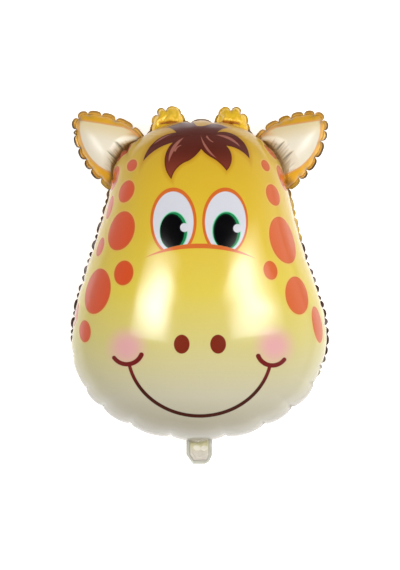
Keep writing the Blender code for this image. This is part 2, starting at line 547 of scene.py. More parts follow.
@dataclass
class FilmBag:
    """A bag of two film sheets, welded along one outline.

    Attributes:
        name: Name of the piece.
        outline: The weld line.
        summits: Summit of the face sheet and of the back sheet, in the weld plane.
        swells: How the face sheet and the back sheet swell.
        puckers: The creases that run in from the weld.
        rim: The rim outside the weld.
        rings: Rings of the net of each sheet.
        place: Moves the bag from the weld plane at zero height to its place.
        seed: Seed of the rim's chance values.
        plump: How far the film bulges beside the weld.
        plumps: Where it bulges further.
        bulges: The soft or scalloped bulges beside the weld.
        folds: The creases across the face sheet and the back sheet.
        dark_depth: Depth at which a crease's painted shade is as dark as it gets.
        plump_rise: How far from the weld the film bulges most.
        plump_fall: How far from there the bulge ends.
    """

    name: str
    outline: Outline
    summits: tuple[Point, Point]
    swells: tuple[Swell, Swell]
    puckers: Sequence[Pucker]
    rim: Rim
    rings: int
    place: Matrix
    seed: int
    plump: float
    plumps: Sequence[Plump] = ()
    bulges: Sequence[Shoulder | Scallop] = ()
    folds: Sequence[Fold] = ()
    dark_depth: float = 0.003
    plump_rise: float = 0.018
    plump_fall: float = 0.060
    net: DiscGrid = field(init=False)

    def __post_init__(self) -> None:
        """Number the net."""
        self.net = DiscGrid(self.rings)

    def build(self) -> tuple[bpy.types.Object, bpy.types.Object]:
        """Make the objects of the bag and its rim, with the print's places on their points."""
        bag, weld = self._bag()
        return bag, self._rim(weld)

    def _smooth(self, sheet: Sheet) -> tuple[Array, Array]:
        """One sheet before it puckers.

        Args:
            sheet: Which sheet.

        Returns:
            Places of the net's points, and their places when the film is laid out flat with the
            distance from the weld as third value.
        """
        which = 0 if sheet is Sheet.FACE else 1
        swell = self.swells[which]
        summit = np.array(self.summits[which])
        count = 8 * self.rings
        turns = np.arange(count) / count
        radius = np.linalg.norm(self.outline.at(turns) - summit, axis=-1)
        out, rise, along = swell.profiles(turns, radius, self.rings)
        spot = self.net.turn * count
        lower = np.floor(spot).astype(int)
        blend = spot - lower
        lower %= count
        upper = (lower + 1) % count
        ring = self.net.ring

        def at(table: Array) -> Array:
            """Values of a table of profiles at the points of the net."""
            return table[lower, ring] * (1 - blend) + table[upper, ring] * blend

        spoke = self.outline.at(self.net.turn) - summit
        flat_place = summit + spoke * at(out)[..., None]
        height = sheet.value * swell.depth * at(rise)
        places = np.concatenate([flat_place, height[..., None]], axis=-1)
        spoke /= np.linalg.norm(spoke, axis=-1, keepdims=True)
        laid = summit + spoke * at(along)[..., None]
        whole = np.repeat(along[:, -1:], self.rings + 1, axis=1)
        inland = at(whole) - at(along)
        return places, np.concatenate([laid, inland[..., None]], axis=-1)

    def _normals(self, places: Array, sheet: Sheet) -> Array:
        """Unit vectors out of one sheet.

        Args:
            places: Places of the sheet's net.
            sheet: Which sheet.

        Returns:
            One unit vector for each point; on the weld it lies in the weld plane.
        """
        across = np.gradient(places, axis=0)
        up = np.gradient(places, axis=1)
        normal = np.cross(across, up) * sheet.value
        normal /= np.maximum(np.linalg.norm(normal, axis=-1, keepdims=True), 1e-12)
        rows, columns = self.net.border()
        out = self.outline.outward(self.net.turn[rows, columns])
        normal[rows, columns] = np.concatenate([out, np.zeros((len(out), 1))], axis=-1)
        return normal

    def _crimp(self, turn: Array, laid: Array) -> tuple[Array, Array]:
        """How far puckers, bulges and folds move the film out of its smooth shape.

        Args:
            turn: Turn of each point.
            laid: Place of each point on the film laid out flat, and its distance from the weld.

        Returns:
            Movement out of the bag, and how dark the painted shade of its creases makes the film, from
            0 to 1.
        """
        inland = laid[..., 2]
        sunk = sum(pucker.sink(turn, inland, self.outline.length) for pucker in self.puckers)
        moved = -sunk
        sunk = np.maximum(sunk, 0)
        for bulge in self.bulges:
            moved += bulge.lift(turn, inland)
        rise = np.clip(inland / self.plump_rise, 0, 1)
        fall = eased(1 - (inland - self.plump_rise) / self.plump_fall)
        plump = self.plump + sum(part.at(turn) for part in self.plumps)
        moved += plump * rise * (2 - rise) * fall
        for fold in self.folds:
            folded = fold.sink(laid)
            moved += folded
            sunk += fold.dark * np.maximum(-folded, 0)
        return moved, np.clip(sunk / self.dark_depth, 0, 1)

    def _placed(self, points: Array) -> Array:
        """The points after the bag is moved to its place."""
        matrix = np.array(self.place)
        return points @ matrix[:3, :3].T + matrix[:3, 3]

    def _bag(self) -> tuple[bpy.types.Object, Array]:
        """Make the bag's mesh object.

        Returns:
            The object, and places along its weld.
        """
        count = self.net.side
        grid = np.arange(count * count).reshape(count, count)
        inner = self.net.ring < self.net.rings
        back_grid = grid.copy()
        back_grid[inner] = count * count + np.arange(int(inner.sum()))
        mirrored = self.place.determinant() < 0
        points, prints, flats, creases, quads = [], [], [], [], []
        for sheet, numbers in ((Sheet.FACE, grid), (Sheet.BACK, back_grid)):
            smooth, laid = self._smooth(sheet)
            moved, dark = self._crimp(self.net.turn, laid)
            crimped = smooth + self._normals(smooth, sheet) * moved[..., None]
            crimped[..., 2] = np.maximum(crimped[..., 2], -self.swells[1].depth)
            placed = self._placed(crimped)
            side = np.where(inner, float(sheet.value), 0.0)
            seen = VIEW.seen(self._placed(smooth))
            keep = inner
            if sheet is Sheet.FACE:
                keep = np.ones_like(inner)
                weld = placed[self.net.border()]
            points.append(placed[keep])
            prints.append(np.concatenate([seen, side[..., None]], axis=-1)[keep])
            flats.append(laid[keep] / MM)
            # The creases' painted shade, kept on the points for the finishes.
            creases.append(np.stack([dark, dark, dark], axis=-1)[keep])
            ring = [numbers[:-1, :-1], numbers[1:, :-1], numbers[1:, 1:], numbers[:-1, 1:]]
            if (sheet is Sheet.BACK) != mirrored:
                ring.reverse()
            quads.append(np.stack(ring, axis=-1).reshape(-1, 4))
        mesh = new_mesh(self.name, np.concatenate(points), np.concatenate(quads))
        for name, parts in (("print", prints), ("laid_flat", flats), ("crease", creases)):
            store_vectors(mesh, name, np.concatenate(parts))
        return new_object(self.name, mesh), weld

    def _rim(self, weld: Array) -> bpy.types.Object:
        """Make the welded rim outside the weld line.

        Args:
            weld: Places along the bag's weld.

        Returns:
            The rim's object. It keeps its print places, and the share of the way across it.
        """
        rim = self.rim
        turn = self.net.turn[self.net.border()]
        matrix = np.array(self.place)[:3, :3]
        out = np.pad(self.outline.outward(turn), ((0, 0), (0, 1))) @ matrix.T
        up = matrix @ np.array([0.0, 0.0, 1.0])
        wide = rim.left(turn, self.puckers, self.outline.length)
        cuts = np.array(sorted(pucker.turn % 1.0 for pucker in self.puckers))
        lobe = np.searchsorted(cuts, turn) % len(cuts)
        span = np.mod(cuts[lobe] - cuts[lobe - 1], 1.0)
        share = np.mod(turn - cuts[lobe - 1], 1.0) / np.where(span > 0, span, 1.0)
        leans = np.random.default_rng(self.seed).uniform(-1, 1, len(cuts))[lobe]
        lift = rim.tilt * leans * 4 * share * (1 - share)
        rings, across = [], []
        for side, order in ((1, rim.stations), (-1, rim.stations[::-1])):
            for reach, lifted in order:
                far = rim.width * (reach * wide if reach > 0 else reach * np.ones_like(wide))
                ring = weld + out * far[:, None]
                rings.append(ring + up * (lift * lifted + side * rim.thick / 2)[:, None])
                across.append(np.full(len(turn), reach))
        numbers = np.arange(len(rings) * len(turn)).reshape(len(rings), len(turn))
        quads = []
        for here, there in zip(numbers, np.roll(numbers, -1, axis=0)):
            quads.append(np.stack([here, np.roll(here, -1), np.roll(there, -1), there], axis=-1))
        faces = np.concatenate(quads)
        if self.place.determinant() > 0:
            faces = faces[:, ::-1]
        points = np.concatenate(rings)
        mesh = new_mesh(f"{self.name}_rim", points, faces)
        reached = np.concatenate(across)[:, None]
        store_vectors(mesh, "print", np.concatenate([VIEW.seen(points), reached], axis=-1))
        return new_object(f"{self.name}_rim", mesh)


def new_mesh(name: str, points: Array, faces: Array) -> bpy.types.Mesh:
    """A smooth mesh of quads.

    Args:
        name: Name of the mesh.
        points: Places of its points, one row each.
        faces: Numbers of the points of each face, one row each.

    Returns:
        The mesh.
    """
    mesh = bpy.data.meshes.new(name)
    mesh.from_pydata(points.tolist(), [], faces.tolist())
    mesh.validate()
    mesh.shade_smooth()
    return mesh


def store_vectors(mesh: bpy.types.Mesh, name: str, vectors: Array) -> None:
    """Keep one vector for each point of a mesh under a name."""
    layer = mesh.attributes.new(name, "FLOAT_VECTOR", "POINT")
    layer.data.foreach_set("vector", vectors.astype(np.float32).ravel())


def new_object(name: str, content: bpy.types.ID) -> bpy.types.Object:
    """An object of the scene that shows a mesh, a light or a camera.

    Args:
        name: Name of the object.
        content: What it shows.

    Returns:
        The object.
    """
    thing = bpy.data.objects.new(name, content)
    bpy.context.scene.collection.objects.link(thing)
    return thing


# Node work


class Sketch:
    """Places nodes in a shader tree, with a short call for each kind of step."""

    COLUMNS = 12
    CELL = (180, -220)

    def __init__(self, tree: bpy.types.NodeTree) -> None:
        """Work on a tree."""
        self.tree = tree
        self._count = 0

    def add(self, kind: str, **settings: object) -> bpy.types.Node:
        """Place a node.

        Args:
            kind: The node's type, without the ShaderNode prefix.
            **settings: Properties to set on it.

        Returns:
            The node.
        """
        node = self.tree.nodes.new(f"ShaderNode{kind}")
        row, column = divmod(self._count, self.COLUMNS)
        node.location = (self.CELL[0] * column, self.CELL[1] * row)
        self._count += 1
        for name, value in settings.items():
            setattr(node, name, value)
        return node

    def feed(self, socket: Socket, value: object) -> None:
        """Link a socket to an output, or set its value.

        Args:
            socket: The socket.
            value: An output of another node, or a plain value.
        """
        if isinstance(value, bpy.types.NodeSocket):
            self.tree.links.new(value, socket)
        else:
            socket.default_value = value

    def feed_all(self, node: bpy.types.Node, **values: object) -> None:
        """Feed a node's inputs by name, with spaces written as underscores."""
        for name, value in values.items():
            self.feed(node.inputs[name.replace("_", " ")], value)

    def _fed(self, node: bpy.types.Node, values: Sequence[object]) -> bpy.types.Node:
        """Feed a node's first inputs in order.

        Args:
            node: The node.
            values: Outputs of other nodes, or plain values.

        Returns:
            The same node.
        """
        for socket, value in zip(node.inputs, values):
            self.feed(socket, value)
        return node

    def math(self, step: str, *values: object, clamp: bool = False) -> Socket:
        """One arithmetic step on numbers."""
        return self._fed(self.add("Math", operation=step, use_clamp=clamp), values).outputs[0]

    def chain(self, step: str, values: Iterable[object]) -> Socket:
        """One arithmetic step, taken from number to number."""
        return reduce(lambda first, second: self.math(step, first, second), values)

    def times(self, *values: object) -> Socket:
        """The product of numbers."""
        return self.chain("MULTIPLY", values)

    def less(self, first: object, second: object) -> Socket:
        """What is left of one number when another is taken away."""
        return self.math("SUBTRACT", first, second)

    def vector(self, step: str, *values: object) -> Socket:
        """One step on vectors; a length, distance or dot product comes out as a number."""
        node = self._fed(self.add("VectorMath", operation=step), values)
        return node.outputs["Value" if step in ("LENGTH", "DISTANCE", "DOT_PRODUCT") else "Vector"]

    def dim(self, colour: object, share: object) -> Socket:
        """A colour that is made darker or lighter by a factor.

        Args:
            colour: The colour.
            share: The factor.

        Returns:
            The new colour.
        """
        node = self._fed(self.add("VectorMath", operation="SCALE"), (colour,))
        self.feed_all(node, Scale=share)
        return node.outputs["Vector"]

    def mix(self, share: object, under: object, over: object, kind: str = "RGBA") -> Socket:
        """Lay one colour over another by a share.

        Args:
            share: How much of the second colour shows.
            under: The first colour.
            over: The second colour.
            kind: What is mixed, if it isn't colours.

        Returns:
            The mixed colour.
        """
        node = self.add("Mix", data_type=kind)
        self.feed(node.inputs["Factor"], share)
        self.feed(in_use(node.inputs, "A"), solid(under))
        self.feed(in_use(node.inputs, "B"), solid(over))
        return in_use(node.outputs, "Result")

    def blend(self, share: object, low: object, high: object) -> Socket:
        """Go from one number to another by a share."""
        return self.mix(share, low, high, kind="FLOAT")

    def between(self, value: object, *ends: float, kind: str = "SMOOTHSTEP") -> Socket:
        """Turn the range between two ends into 0 to 1, or into a second pair of ends."""
        node = self.add("MapRange", interpolation_type=kind)
        return self._fed(node, (value, *ends)).outputs["Result"]

    def stored(self, name: str) -> Socket:
        """The vector that the mesh keeps under a name."""
        node = self.add("Attribute", attribute_type="GEOMETRY", attribute_name=name)
        return node.outputs["Vector"]

    def parts(self, vector: Socket) -> Sequence[Socket]:
        """The three numbers of a vector."""
        return self._fed(self.add("SeparateXYZ"), (vector,)).outputs

    def ramp(self, value: object, stops: Sequence[tuple[float, Colour]]) -> Socket:
        """A colour that runs through stops as a number goes from 0 to 1.

        Args:
            value: The number.
            stops: Places from 0 to 1, and the colour there.

        Returns:
            The colour.
        """
        node = self._fed(self.add("ValToRGB"), (value,))
        band = node.color_ramp
        while len(band.elements) < len(stops):
            band.elements.new(0.5)
        for element, (where, colour) in zip(band.elements, stops):
            element.position = where
            element.color = (*colour, 1.0)
        return node.outputs["Color"]

    def levels(self, value: object, stops: Sequence[Point]) -> Socket:
        """Brightness that runs through stops as a number goes from 0 to 1."""
        return self.ramp(value, [(where, (bright, bright, bright)) for where, bright in stops])

    def group(self, tree: bpy.types.NodeTree, **values: object) -> bpy.types.Node:
        """Place a node group and feed its inputs by name.

        Args:
            tree: The group.
            **values: Outputs of other nodes, or plain values.

        Returns:
            The group's node.
        """
        node = self.add("Group", node_tree=tree)
        self.feed_all(node, **values)
        return node


def in_use(sockets: Sequence[Socket], name: str) -> Socket:
    """The socket of a name that a node's settings have switched on."""
    return next(socket for socket in sockets if socket.enabled and socket.name == name)


def solid(colour: object) -> object:
    """A colour with its opacity added, or what was given if it isn't a plain colour."""
    return (*colour, 1.0) if isinstance(colour, tuple) else colour


def paint(code: str) -> Colour:
    """A colour from its six-digit code, in linear light."""
    parts = [int(code[index : index + 2], 16) / 255 for index in (0, 2, 4)]
    return tuple(p / 12.92 if p <= 0.04045 else ((p + 0.055) / 1.055) ** 2.4 for p in parts)


class EffectGroup(Sketch):
    """A node group in the making, with its inputs and outputs."""

    def __init__(self, name: str, inputs: dict[str, object], outputs: Sequence[str]) -> None:
        """Start the group.

        Args:
            name: Name of the group.
            inputs: Name and first value of each input.
            outputs: Name of each output, all numbers.
        """
        super().__init__(bpy.data.node_groups.new(name, "ShaderNodeTree"))
        sockets = self.tree.interface
        for label, value in inputs.items():
            kind = "NodeSocketVector" if isinstance(value, tuple) else "NodeSocketFloat"
            socket = sockets.new_socket(label, in_out="INPUT", socket_type=kind)
            socket.default_value = value
        for label in outputs:
            sockets.new_socket(label, in_out="OUTPUT", socket_type="NodeSocketFloat")
        self.given = self.tree.nodes.new("NodeGroupInput").outputs
        self.result = self.tree.nodes.new("NodeGroupOutput")


class Effects:
    """The node groups that more than one film shares."""

    def __init__(self) -> None:
        """Build every group once."""
        self.oval = self._oval()
        self.film = self._film()

    @staticmethod
    def _oval() -> bpy.types.NodeTree:
        """Distance outside a tilted oval, negative inside it.

        Returns:
            The group.
        """
        middle = (0.0, 0.0, 0.0)
        inputs = {"Place": middle, "Middle": middle, "Reach": (1.0, 1.0, 1.0), "Turn": 0.0}
        sketch = EffectGroup("Oval", inputs, ("Away",))
        given = sketch.given
        moved = sketch.vector("SUBTRACT", given["Place"], given["Middle"])
        turned = sketch.add("VectorRotate", rotation_type="Z_AXIS")
        level = sketch.vector("MULTIPLY", moved, (1.0, 1.0, 0.0))
        sketch.feed_all(turned, Vector=level, Angle=sketch.times(given["Turn"], -1.0))
        once = sketch.vector("DIVIDE", turned.outputs[0], given["Reach"])
        near = sketch.vector("LENGTH", once)
        slope = sketch.vector("LENGTH", sketch.vector("DIVIDE", once, given["Reach"]))
        away = sketch.math("DIVIDE", sketch.times(near, sketch.less(near, 1.0)), slope)
        sketch.feed_all(sketch.result, Away=away)
        return sketch.tree

    @staticmethod
    def _film() -> bpy.types.NodeTree:
        """Slow ripples, fine haze and rub marks of thin film.

        Returns:
            The group.
        """
        inputs = {"Place": (0.0, 0.0, 0.0), "Ripple Size": 0.05, "Haze": 0.05, "Gloss": 0.15}
        sketch = EffectGroup("Film Skin", inputs, ("Roughness", "Height", "Shade"))
        given = sketch.given

        def noise(scale: object, detail: float) -> Socket:
            """Uneven values over the film.

            Args:
                scale: How many lumps there are to a metre.
                detail: How many finer layers lie over them.

            Returns:
                The value, from 0 to 1.
            """
            node = sketch.add("TexNoise")
            sketch.feed_all(node, Vector=given["Place"], Scale=scale, Detail=detail)
            return node.outputs["Fac"]

        slow = noise(sketch.math("DIVIDE", 1.0, given["Ripple Size"]), 2.0)
        fine = noise(420.0, 3.0)
        worn = sketch.times(sketch.between(noise(28.0, 4.0), 0.42, 0.72), given["Haze"])
        rough = sketch.chain("ADD", (given["Gloss"], worn, sketch.times(fine, 0.03)))
        height = sketch.math("MULTIPLY_ADD", fine, 0.02, slow)
        shade = sketch.math("MULTIPLY_ADD", fine, 0.05, 0.975)
        sketch.feed_all(sketch.result, Roughness=rough, Height=height, Shade=shade)
        return sketch.tree


# The print


@dataclass(frozen=True)
class Circle:
    """A compass circle of the drawing, in millimetres."""

    x: float
    y: float
    radius: float


@dataclass(frozen=True)
class Oval:
    """An oval of the drawing, in millimetres, turned by degrees against the clock."""

    x: float
    y: float
    half_wide: float
    half_tall: float
    turn: float = 0.0

    def grown(self, extra: float) -> "Oval":
        """The oval with a margin added all round."""
        return Oval(self.x, self.y, self.half_wide + extra, self.half_tall + extra, self.turn)


@dataclass(frozen=True)
class Crescent:
    """What lies inside all of the first circles and outside all of the others."""

    inside: tuple[Circle, ...]
    outside: tuple[Circle, ...] = ()


@dataclass(frozen=True)
class Bow:
    """A bowed stroke with round ends.

    Attributes:
        start: Middle of its first end.
        end: Middle of its last end.
        dip: How far it bows to the right of the straight line.
        first_width: Width at its start.
        last_width: Width at its end.
    """

    start: Point
    end: Point
    dip: float
    first_width: float
    last_width: float


@dataclass(frozen=True)
class Swing:
    """An edge that bulges out along one circle, then curves in round another that touches it.

    Attributes:
        out: Circle that the shape lies inside, right of the line from its middle to the other's.
        into: Circle that the shape lies outside, left of that line.
        facing: 1, or -1 where left and right are swapped.
    """

    out: Circle
    into: Circle
    facing: int = 1


class Drawing(Sketch):
    """A sketch that draws shapes on the film, as distances that are negative inside."""

    def __init__(self, tree: bpy.types.NodeTree, effects: Effects) -> None:
        """Draw in a tree.

        Args:
            tree: The tree to draw in.
            effects: The shared node groups.
        """
        super().__init__(tree)
        self._oval = effects.oval
        self.place: Socket | None = None

    def draw_on(self, places: Socket, scale: Point = (1.0, 1.0)) -> None:
        """Draw from here on by these places, scaled to millimetres of the print."""
        self.place = self.vector("MULTIPLY", places, (*scale, 0.0))

    def circle(self, shape: Circle) -> Socket:
        """Distance outside a circle."""
        return self.less(self.vector("DISTANCE", self.place, (shape.x, shape.y, 0.0)), shape.radius)

    def oval(self, shape: Oval) -> Socket:
        """Distance outside an oval.

        Args:
            shape: The oval.

        Returns:
            The distance, negative inside it.
        """
        node = self.group(
            self._oval,
            Place=self.place,
            Middle=(shape.x, shape.y, 0.0),
            Reach=(shape.half_wide, shape.half_tall, 1.0),
            Turn=math.radians(shape.turn),
        )
        return node.outputs["Away"]

    def crescent(self, shape: Crescent) -> Socket:
        """Distance outside a crescent."""
        inside = [self.circle(circle) for circle in shape.inside]
        return self.both(*inside, *(self.beyond(self.circle(circle)) for circle in shape.outside))

    def swung(self, edge: Swing) -> Socket:
        """Distance beyond an edge that swings out round one circle and in round another.

        Args:
            edge: The edge.

        Returns:
            The distance, negative on its inner side.
        """
        out, into = edge.out, edge.into
        apart = math.hypot(into.x - out.x, into.y - out.y) * edge.facing
        facing = ((into.y - out.y) / apart, (out.x - into.x) / apart, 0.0)
        moved = self.vector("SUBTRACT", self.place, (out.x, out.y, 0.0))
        side = self.vector("DOT_PRODUCT", moved, facing)
        near = self.math("MINIMUM", self.circle(out), side)
        return self.both(near, self.beyond(self.circle(into)))

    def either(self, shapes: Iterable[Socket]) -> Socket:
        """Distance outside several shapes taken together."""
        return self.chain("MINIMUM", shapes)

    def both(self, *shapes: object) -> Socket:
        """Distance outside what shapes share."""
        return self.chain("MAXIMUM", shapes)

    def beyond(self, shape: object) -> Socket:
        """Distance outside everything but a shape."""
        return self.times(shape, -1.0)

    def bow(self, stroke: Bow) -> Socket:
        """Distance outside a bowed stroke.

        Args:
            stroke: The stroke.

        Returns:
            The distance, negative inside it.
        """
        start, end = Vector(stroke.start), Vector(stroke.end)
        half = (end - start).length / 2
        along = (end - start).normalized()
        dip = abs(stroke.dip)
        inward = Vector((along.y, -along.x)) * math.copysign(1.0, stroke.dip)
        radius = (half * half + dip * dip) / (2 * dip)
        centre = (start + end) / 2 + inward * (dip - radius)
        moved = self.vector("SUBTRACT", self.place, (*centre, 0.0))
        sideways = self.vector("DOT_PRODUCT", moved, (*along, 0.0))
        down = self.vector("DOT_PRODUCT", moved, (*inward, 0.0))
        apart = self.times(self.math("ABSOLUTE", sideways), 1 - dip / radius)
        beyond_ends = self.less(apart, self.times(down, half / radius))
        share = self.math("MULTIPLY_ADD", sideways, 0.5 / half, 0.5, clamp=True)
        width = self.blend(share, stroke.first_width, stroke.last_width)
        arc = self.line(self.circle(Circle(*centre, radius)), width)
        first = self.circle(Circle(*start, stroke.first_width / 2))
        last = self.circle(Circle(*end, stroke.last_width / 2))
        return self.either((self.both(arc, beyond_ends), first, last))

    def line(self, shape: object, width: object) -> Socket:
        """Distance outside a line that runs along a shape's edge."""
        return self.less(self.math("ABSOLUTE", shape), self.times(width, 0.5))

    def cover(self, away: object, soft: float = 0.5, grow: float = 0.0) -> Socket:
        """Share of ink: 1 inside a shape that is grown a little, 0 outside, over a soft edge."""
        return self.between(away, grow - soft, grow + soft, 1.0, 0.0)

    def glow(self, away: object, *ends: float) -> Socket:
        """Share that falls from the third number to 0 between two distances from a shape."""
        return self.between(away, *ends, 0.0)


@dataclass(frozen=True)
class Eye:
    """One eye of the print."""

    surround: Oval
    white: Oval
    iris: Oval
    pupil: Oval
    glint: Circle


@dataclass(frozen=True)
class Inks:
    """Inks of the face and colours of the films, and the painted shade and painted light laid over
    them, in linear light.
    """

    crown: Colour = paint("E0B129")
    brow: Colour = paint("E6C43C")
    cheek: Colour = paint("E8D14F")
    muzzle: Colour = paint("DED180")
    chin: Colour = paint("D6CFB4")
    # Print darkened with painted shade at the bottom of the chin.
    chin_shaded: Colour = paint("C2BAA2")
    # Pink painted reflection along the face's edge near the weld.
    border: Colour = paint("E89C84")
    # The spots' one orange: painted shade on the left, painted light on the right.
    spot_shaded_left: Colour = paint("E05321")
    spot_lit_right: Colour = paint("DD6426")
    spot_edge: Colour = paint("D2691E")
    spot_glow: Colour = paint("F4B860")
    hair: Colour = paint("612214")
    hair_tip: Colour = paint("8E3E2C")
    hair_line: Colour = paint("561B12")
    hair_glow: Colour = paint("C47410")
    hair_shine: Colour = paint("AE6A5A")
    eye_line: Colour = paint("DD6E2C")
    eye_white: Colour = paint("DEDEE6")
    iris: Colour = paint("1F8A52")
    iris_edge: Colour = paint("9FE6C4")
    iris_deep: Colour = paint("08301C")
    pupil: Colour = paint("050406")
    nostril: Colour = paint("842812")
    smile: Colour = paint("48180A")
    dimple: Colour = paint("781E1C")
    blush: Colour = paint("F0A7B6")
    gold: Colour = paint("F2B42A")
    # Brown painted shade in the horns' creases.
    gold_crease_shade: Colour = paint("B0601A")
    horn_gold: Colour = paint("FECE34")
    valve_film: Colour = paint("E8DFD0")
    valve_glue: Colour = paint("E0D8A4")
    valve_border: Colour = paint("B6B8A2")
    valve_edge: Colour = paint("9C9C84")
    # Painted highlights in the valve's pocket.
    valve_highlight: Colour = paint("FFF8E4")
    rim_gold: Colour = paint("DCA43A")
    # Painted shade on the outer edge of the ears' and horns' rims.
    rim_edge_shade: Colour = paint("3E260C")
    rim_olive: Colour = paint("6A5018")
    # Painted dark reflection on the head rim's sides.
    rim_dark_reflection: Colour = paint("3C1616")
    # Painted light on the lit parts of the rims.
    rim_lit: Colour = paint("CCA834")


@dataclass(frozen=True)
class FacePrint:
    """Where everything on the face is printed, in millimetres."""

    eyes: tuple[Eye, Eye] = (
        Eye(
            Oval(-47.9, 114.3, 41.8, 61.2),
            Oval(-48.1, 113.4, 36.5, 54.9),
            Oval(-47.4, 97.6, 24.3, 33.7),
            Oval(-50.1, 96.5, 20.9, 30.6),
            Circle(-27.9, 103.4, 7.9),
        ),
        Eye(
            Oval(45.2, 114.3, 41.4, 61.2),
            Oval(45.9, 113.4, 36.9, 54.9),
            Oval(47.7, 97.6, 24.8, 33.7),
            Oval(46.1, 96.6, 20.5, 30.6),
            Circle(67.5, 102.0, 7.7),
        ),
    )
    muzzle: Circle = Circle(-1.1, -128.3, 202.9)
    brow: Circle = Circle(-1.7, -223.2, 289.4)
    nostrils: tuple[Oval, Oval] = (
        Oval(-32.9, -106.5, 14.2, 17.1),
        Oval(32.6, -106.5, 14.2, 17.1),
    )
    smile: Oval = Oval(-0.5, -120.0, 129.5, 115.7)
    smile_top: float = -142.0
    smile_width: float = 6.2
    smile_ends: Point = (-190.0, -150.0)
    dimples: tuple[Bow, Bow] = (
        Bow((-154.6, -131.0), (-105.5, -125.5), 14.3, 7.6, 8.6),
        Bow((151.7, -134.2), (104.9, -127.8), -13.7, 7.6, 8.6),
    )
    blushes: tuple[Circle, Circle] = (Circle(-131.8, -112.0, 46.0), Circle(134.3, -109.0, 46.0))
    side_locks: tuple[Crescent, ...] = (
        Crescent((Circle(-37.6, 208.4, 66.3),), (Circle(-25.7, 160.1, 99.1),)),
        Crescent(
            (Circle(39.7, 226.3, 49.4), Circle(75.0, 245.0, 60.0)), (Circle(41.2, 190.4, 60.5),)
        ),
    )
    front_locks: tuple[tuple[Circle, Swing], ...] = (
        (Circle(-17.0, 222.3, 46.9), Swing(Circle(-55.0, 283.3, 68.8), Circle(-7.3, 180.1, 45.4), -1)),
        (Circle(26.3, 228.0, 31.0), Swing(Circle(49.7, 284.1, 61.8), Circle(-17.9, 158.2, 81.1))),
    )
    cap: Oval = Oval(-6.5, 283.0, 57.5, 37.5)
    cap_cuts: Crescent = Crescent(
        (Circle(-5.0, 150.0, 143.4),), (Circle(-59.5, 260.0, 22.2), Circle(50.0, 254.0, 28.0))
    )
    parting: Crescent = Crescent((Circle(10.5, 309.0, 28.2), Circle(0.0, 333.0, 47.6)))
    tips: Point = (250.0, 190.0)
    shines: tuple[Crescent, ...] = (
        Crescent((Circle(-41.7, 217.0, 55.3),), (Circle(64.7, 28.6, 269.2),)),
        Crescent((Circle(-14.1, 225.6, 42.4),), (Circle(60.0, 180.0, 123.5),)),
        Crescent((Circle(53.1, 275.0, 52.0),), (Circle(131.0, 330.0, 143.5),)),
        Crescent((Circle(35.0, 227.1, 43.2),), (Circle(3.1, 161.9, 111.2),)),
    )
    short_shines: tuple[Bow, ...] = (
        Bow((12.6, 267.3), (23.4, 257.4), 1.2, 3.2, 1.0),
        Bow((-45.0, 242.0), (-34.2, 251.5), -1.6, 3.4, 1.0),
    )
    spots: tuple[Oval, ...] = (
        Oval(-124.7, 223.1, 10.4, 13.4, 13), Oval(-133.8, 172.3, 17.3, 21.2, -8),
        Oval(-143.2, 99.9, 28.8, 35.8, -14), Oval(-134.8, 22.9, 19.0, 22.2, -5),
        Oval(-192.7, -6.7, 33.0, 43.0, -8), Oval(-216.9, -81.8, 16.9, 20.8, 13),
        Oval(-146.0, 268.0, 9.0, 20.0, -38), Oval(-165.5, 217.0, 14.0, 24.0, -16),
        Oval(-175.0, 157.0, 10.0, 23.0, -13), Oval(-194.0, 81.0, 12.0, 19.0, -14),
        Oval(-257.0, -50.0, 11.0, 24.0, -8), Oval(119.7, 221.1, 8.6, 12.0, 8),
        Oval(132.4, 165.4, 15.0, 20.0, 12), Oval(153.6, 85.2, 30.6, 43.3, 15),
        Oval(124.0, 27.2, 13.4, 16.8, 12), Oval(178.3, -15.2, 26.6, 35.3, 4),
        Oval(227.3, -70.0, 16.5, 36.0, 12), Oval(136.0, 266.0, 9.0, 18.0, 35),
        Oval(159.0, 215.0, 13.0, 25.0, 18),
    )


FACE = FacePrint()
INKS = Inks()
# The print's third value is 1 on the face sheet and -1 on the back, and turns over here.
FRONT = (-0.05, 0.05)


@dataclass(frozen=True)
class Skin:
    """How the bare film looks, whatever is printed on it.

    Attributes:
        ripple: Size of its slow ripples.
        relief: Height of the ripples.
        haze: How much rougher its worn patches are.
        gloss: Roughness of clean film.
        shadow: How much darker painted shade makes the bottom of a crease.
        coat: Weight of its clear coat.
        coat_roughness: Roughness of the clear coat.
    """

    ripple: float
    relief: float
    haze: float = 0.06
    gloss: float = 0.26
    shadow: float = 0.0
    coat: float = 0.15
    coat_roughness: float = 0.08


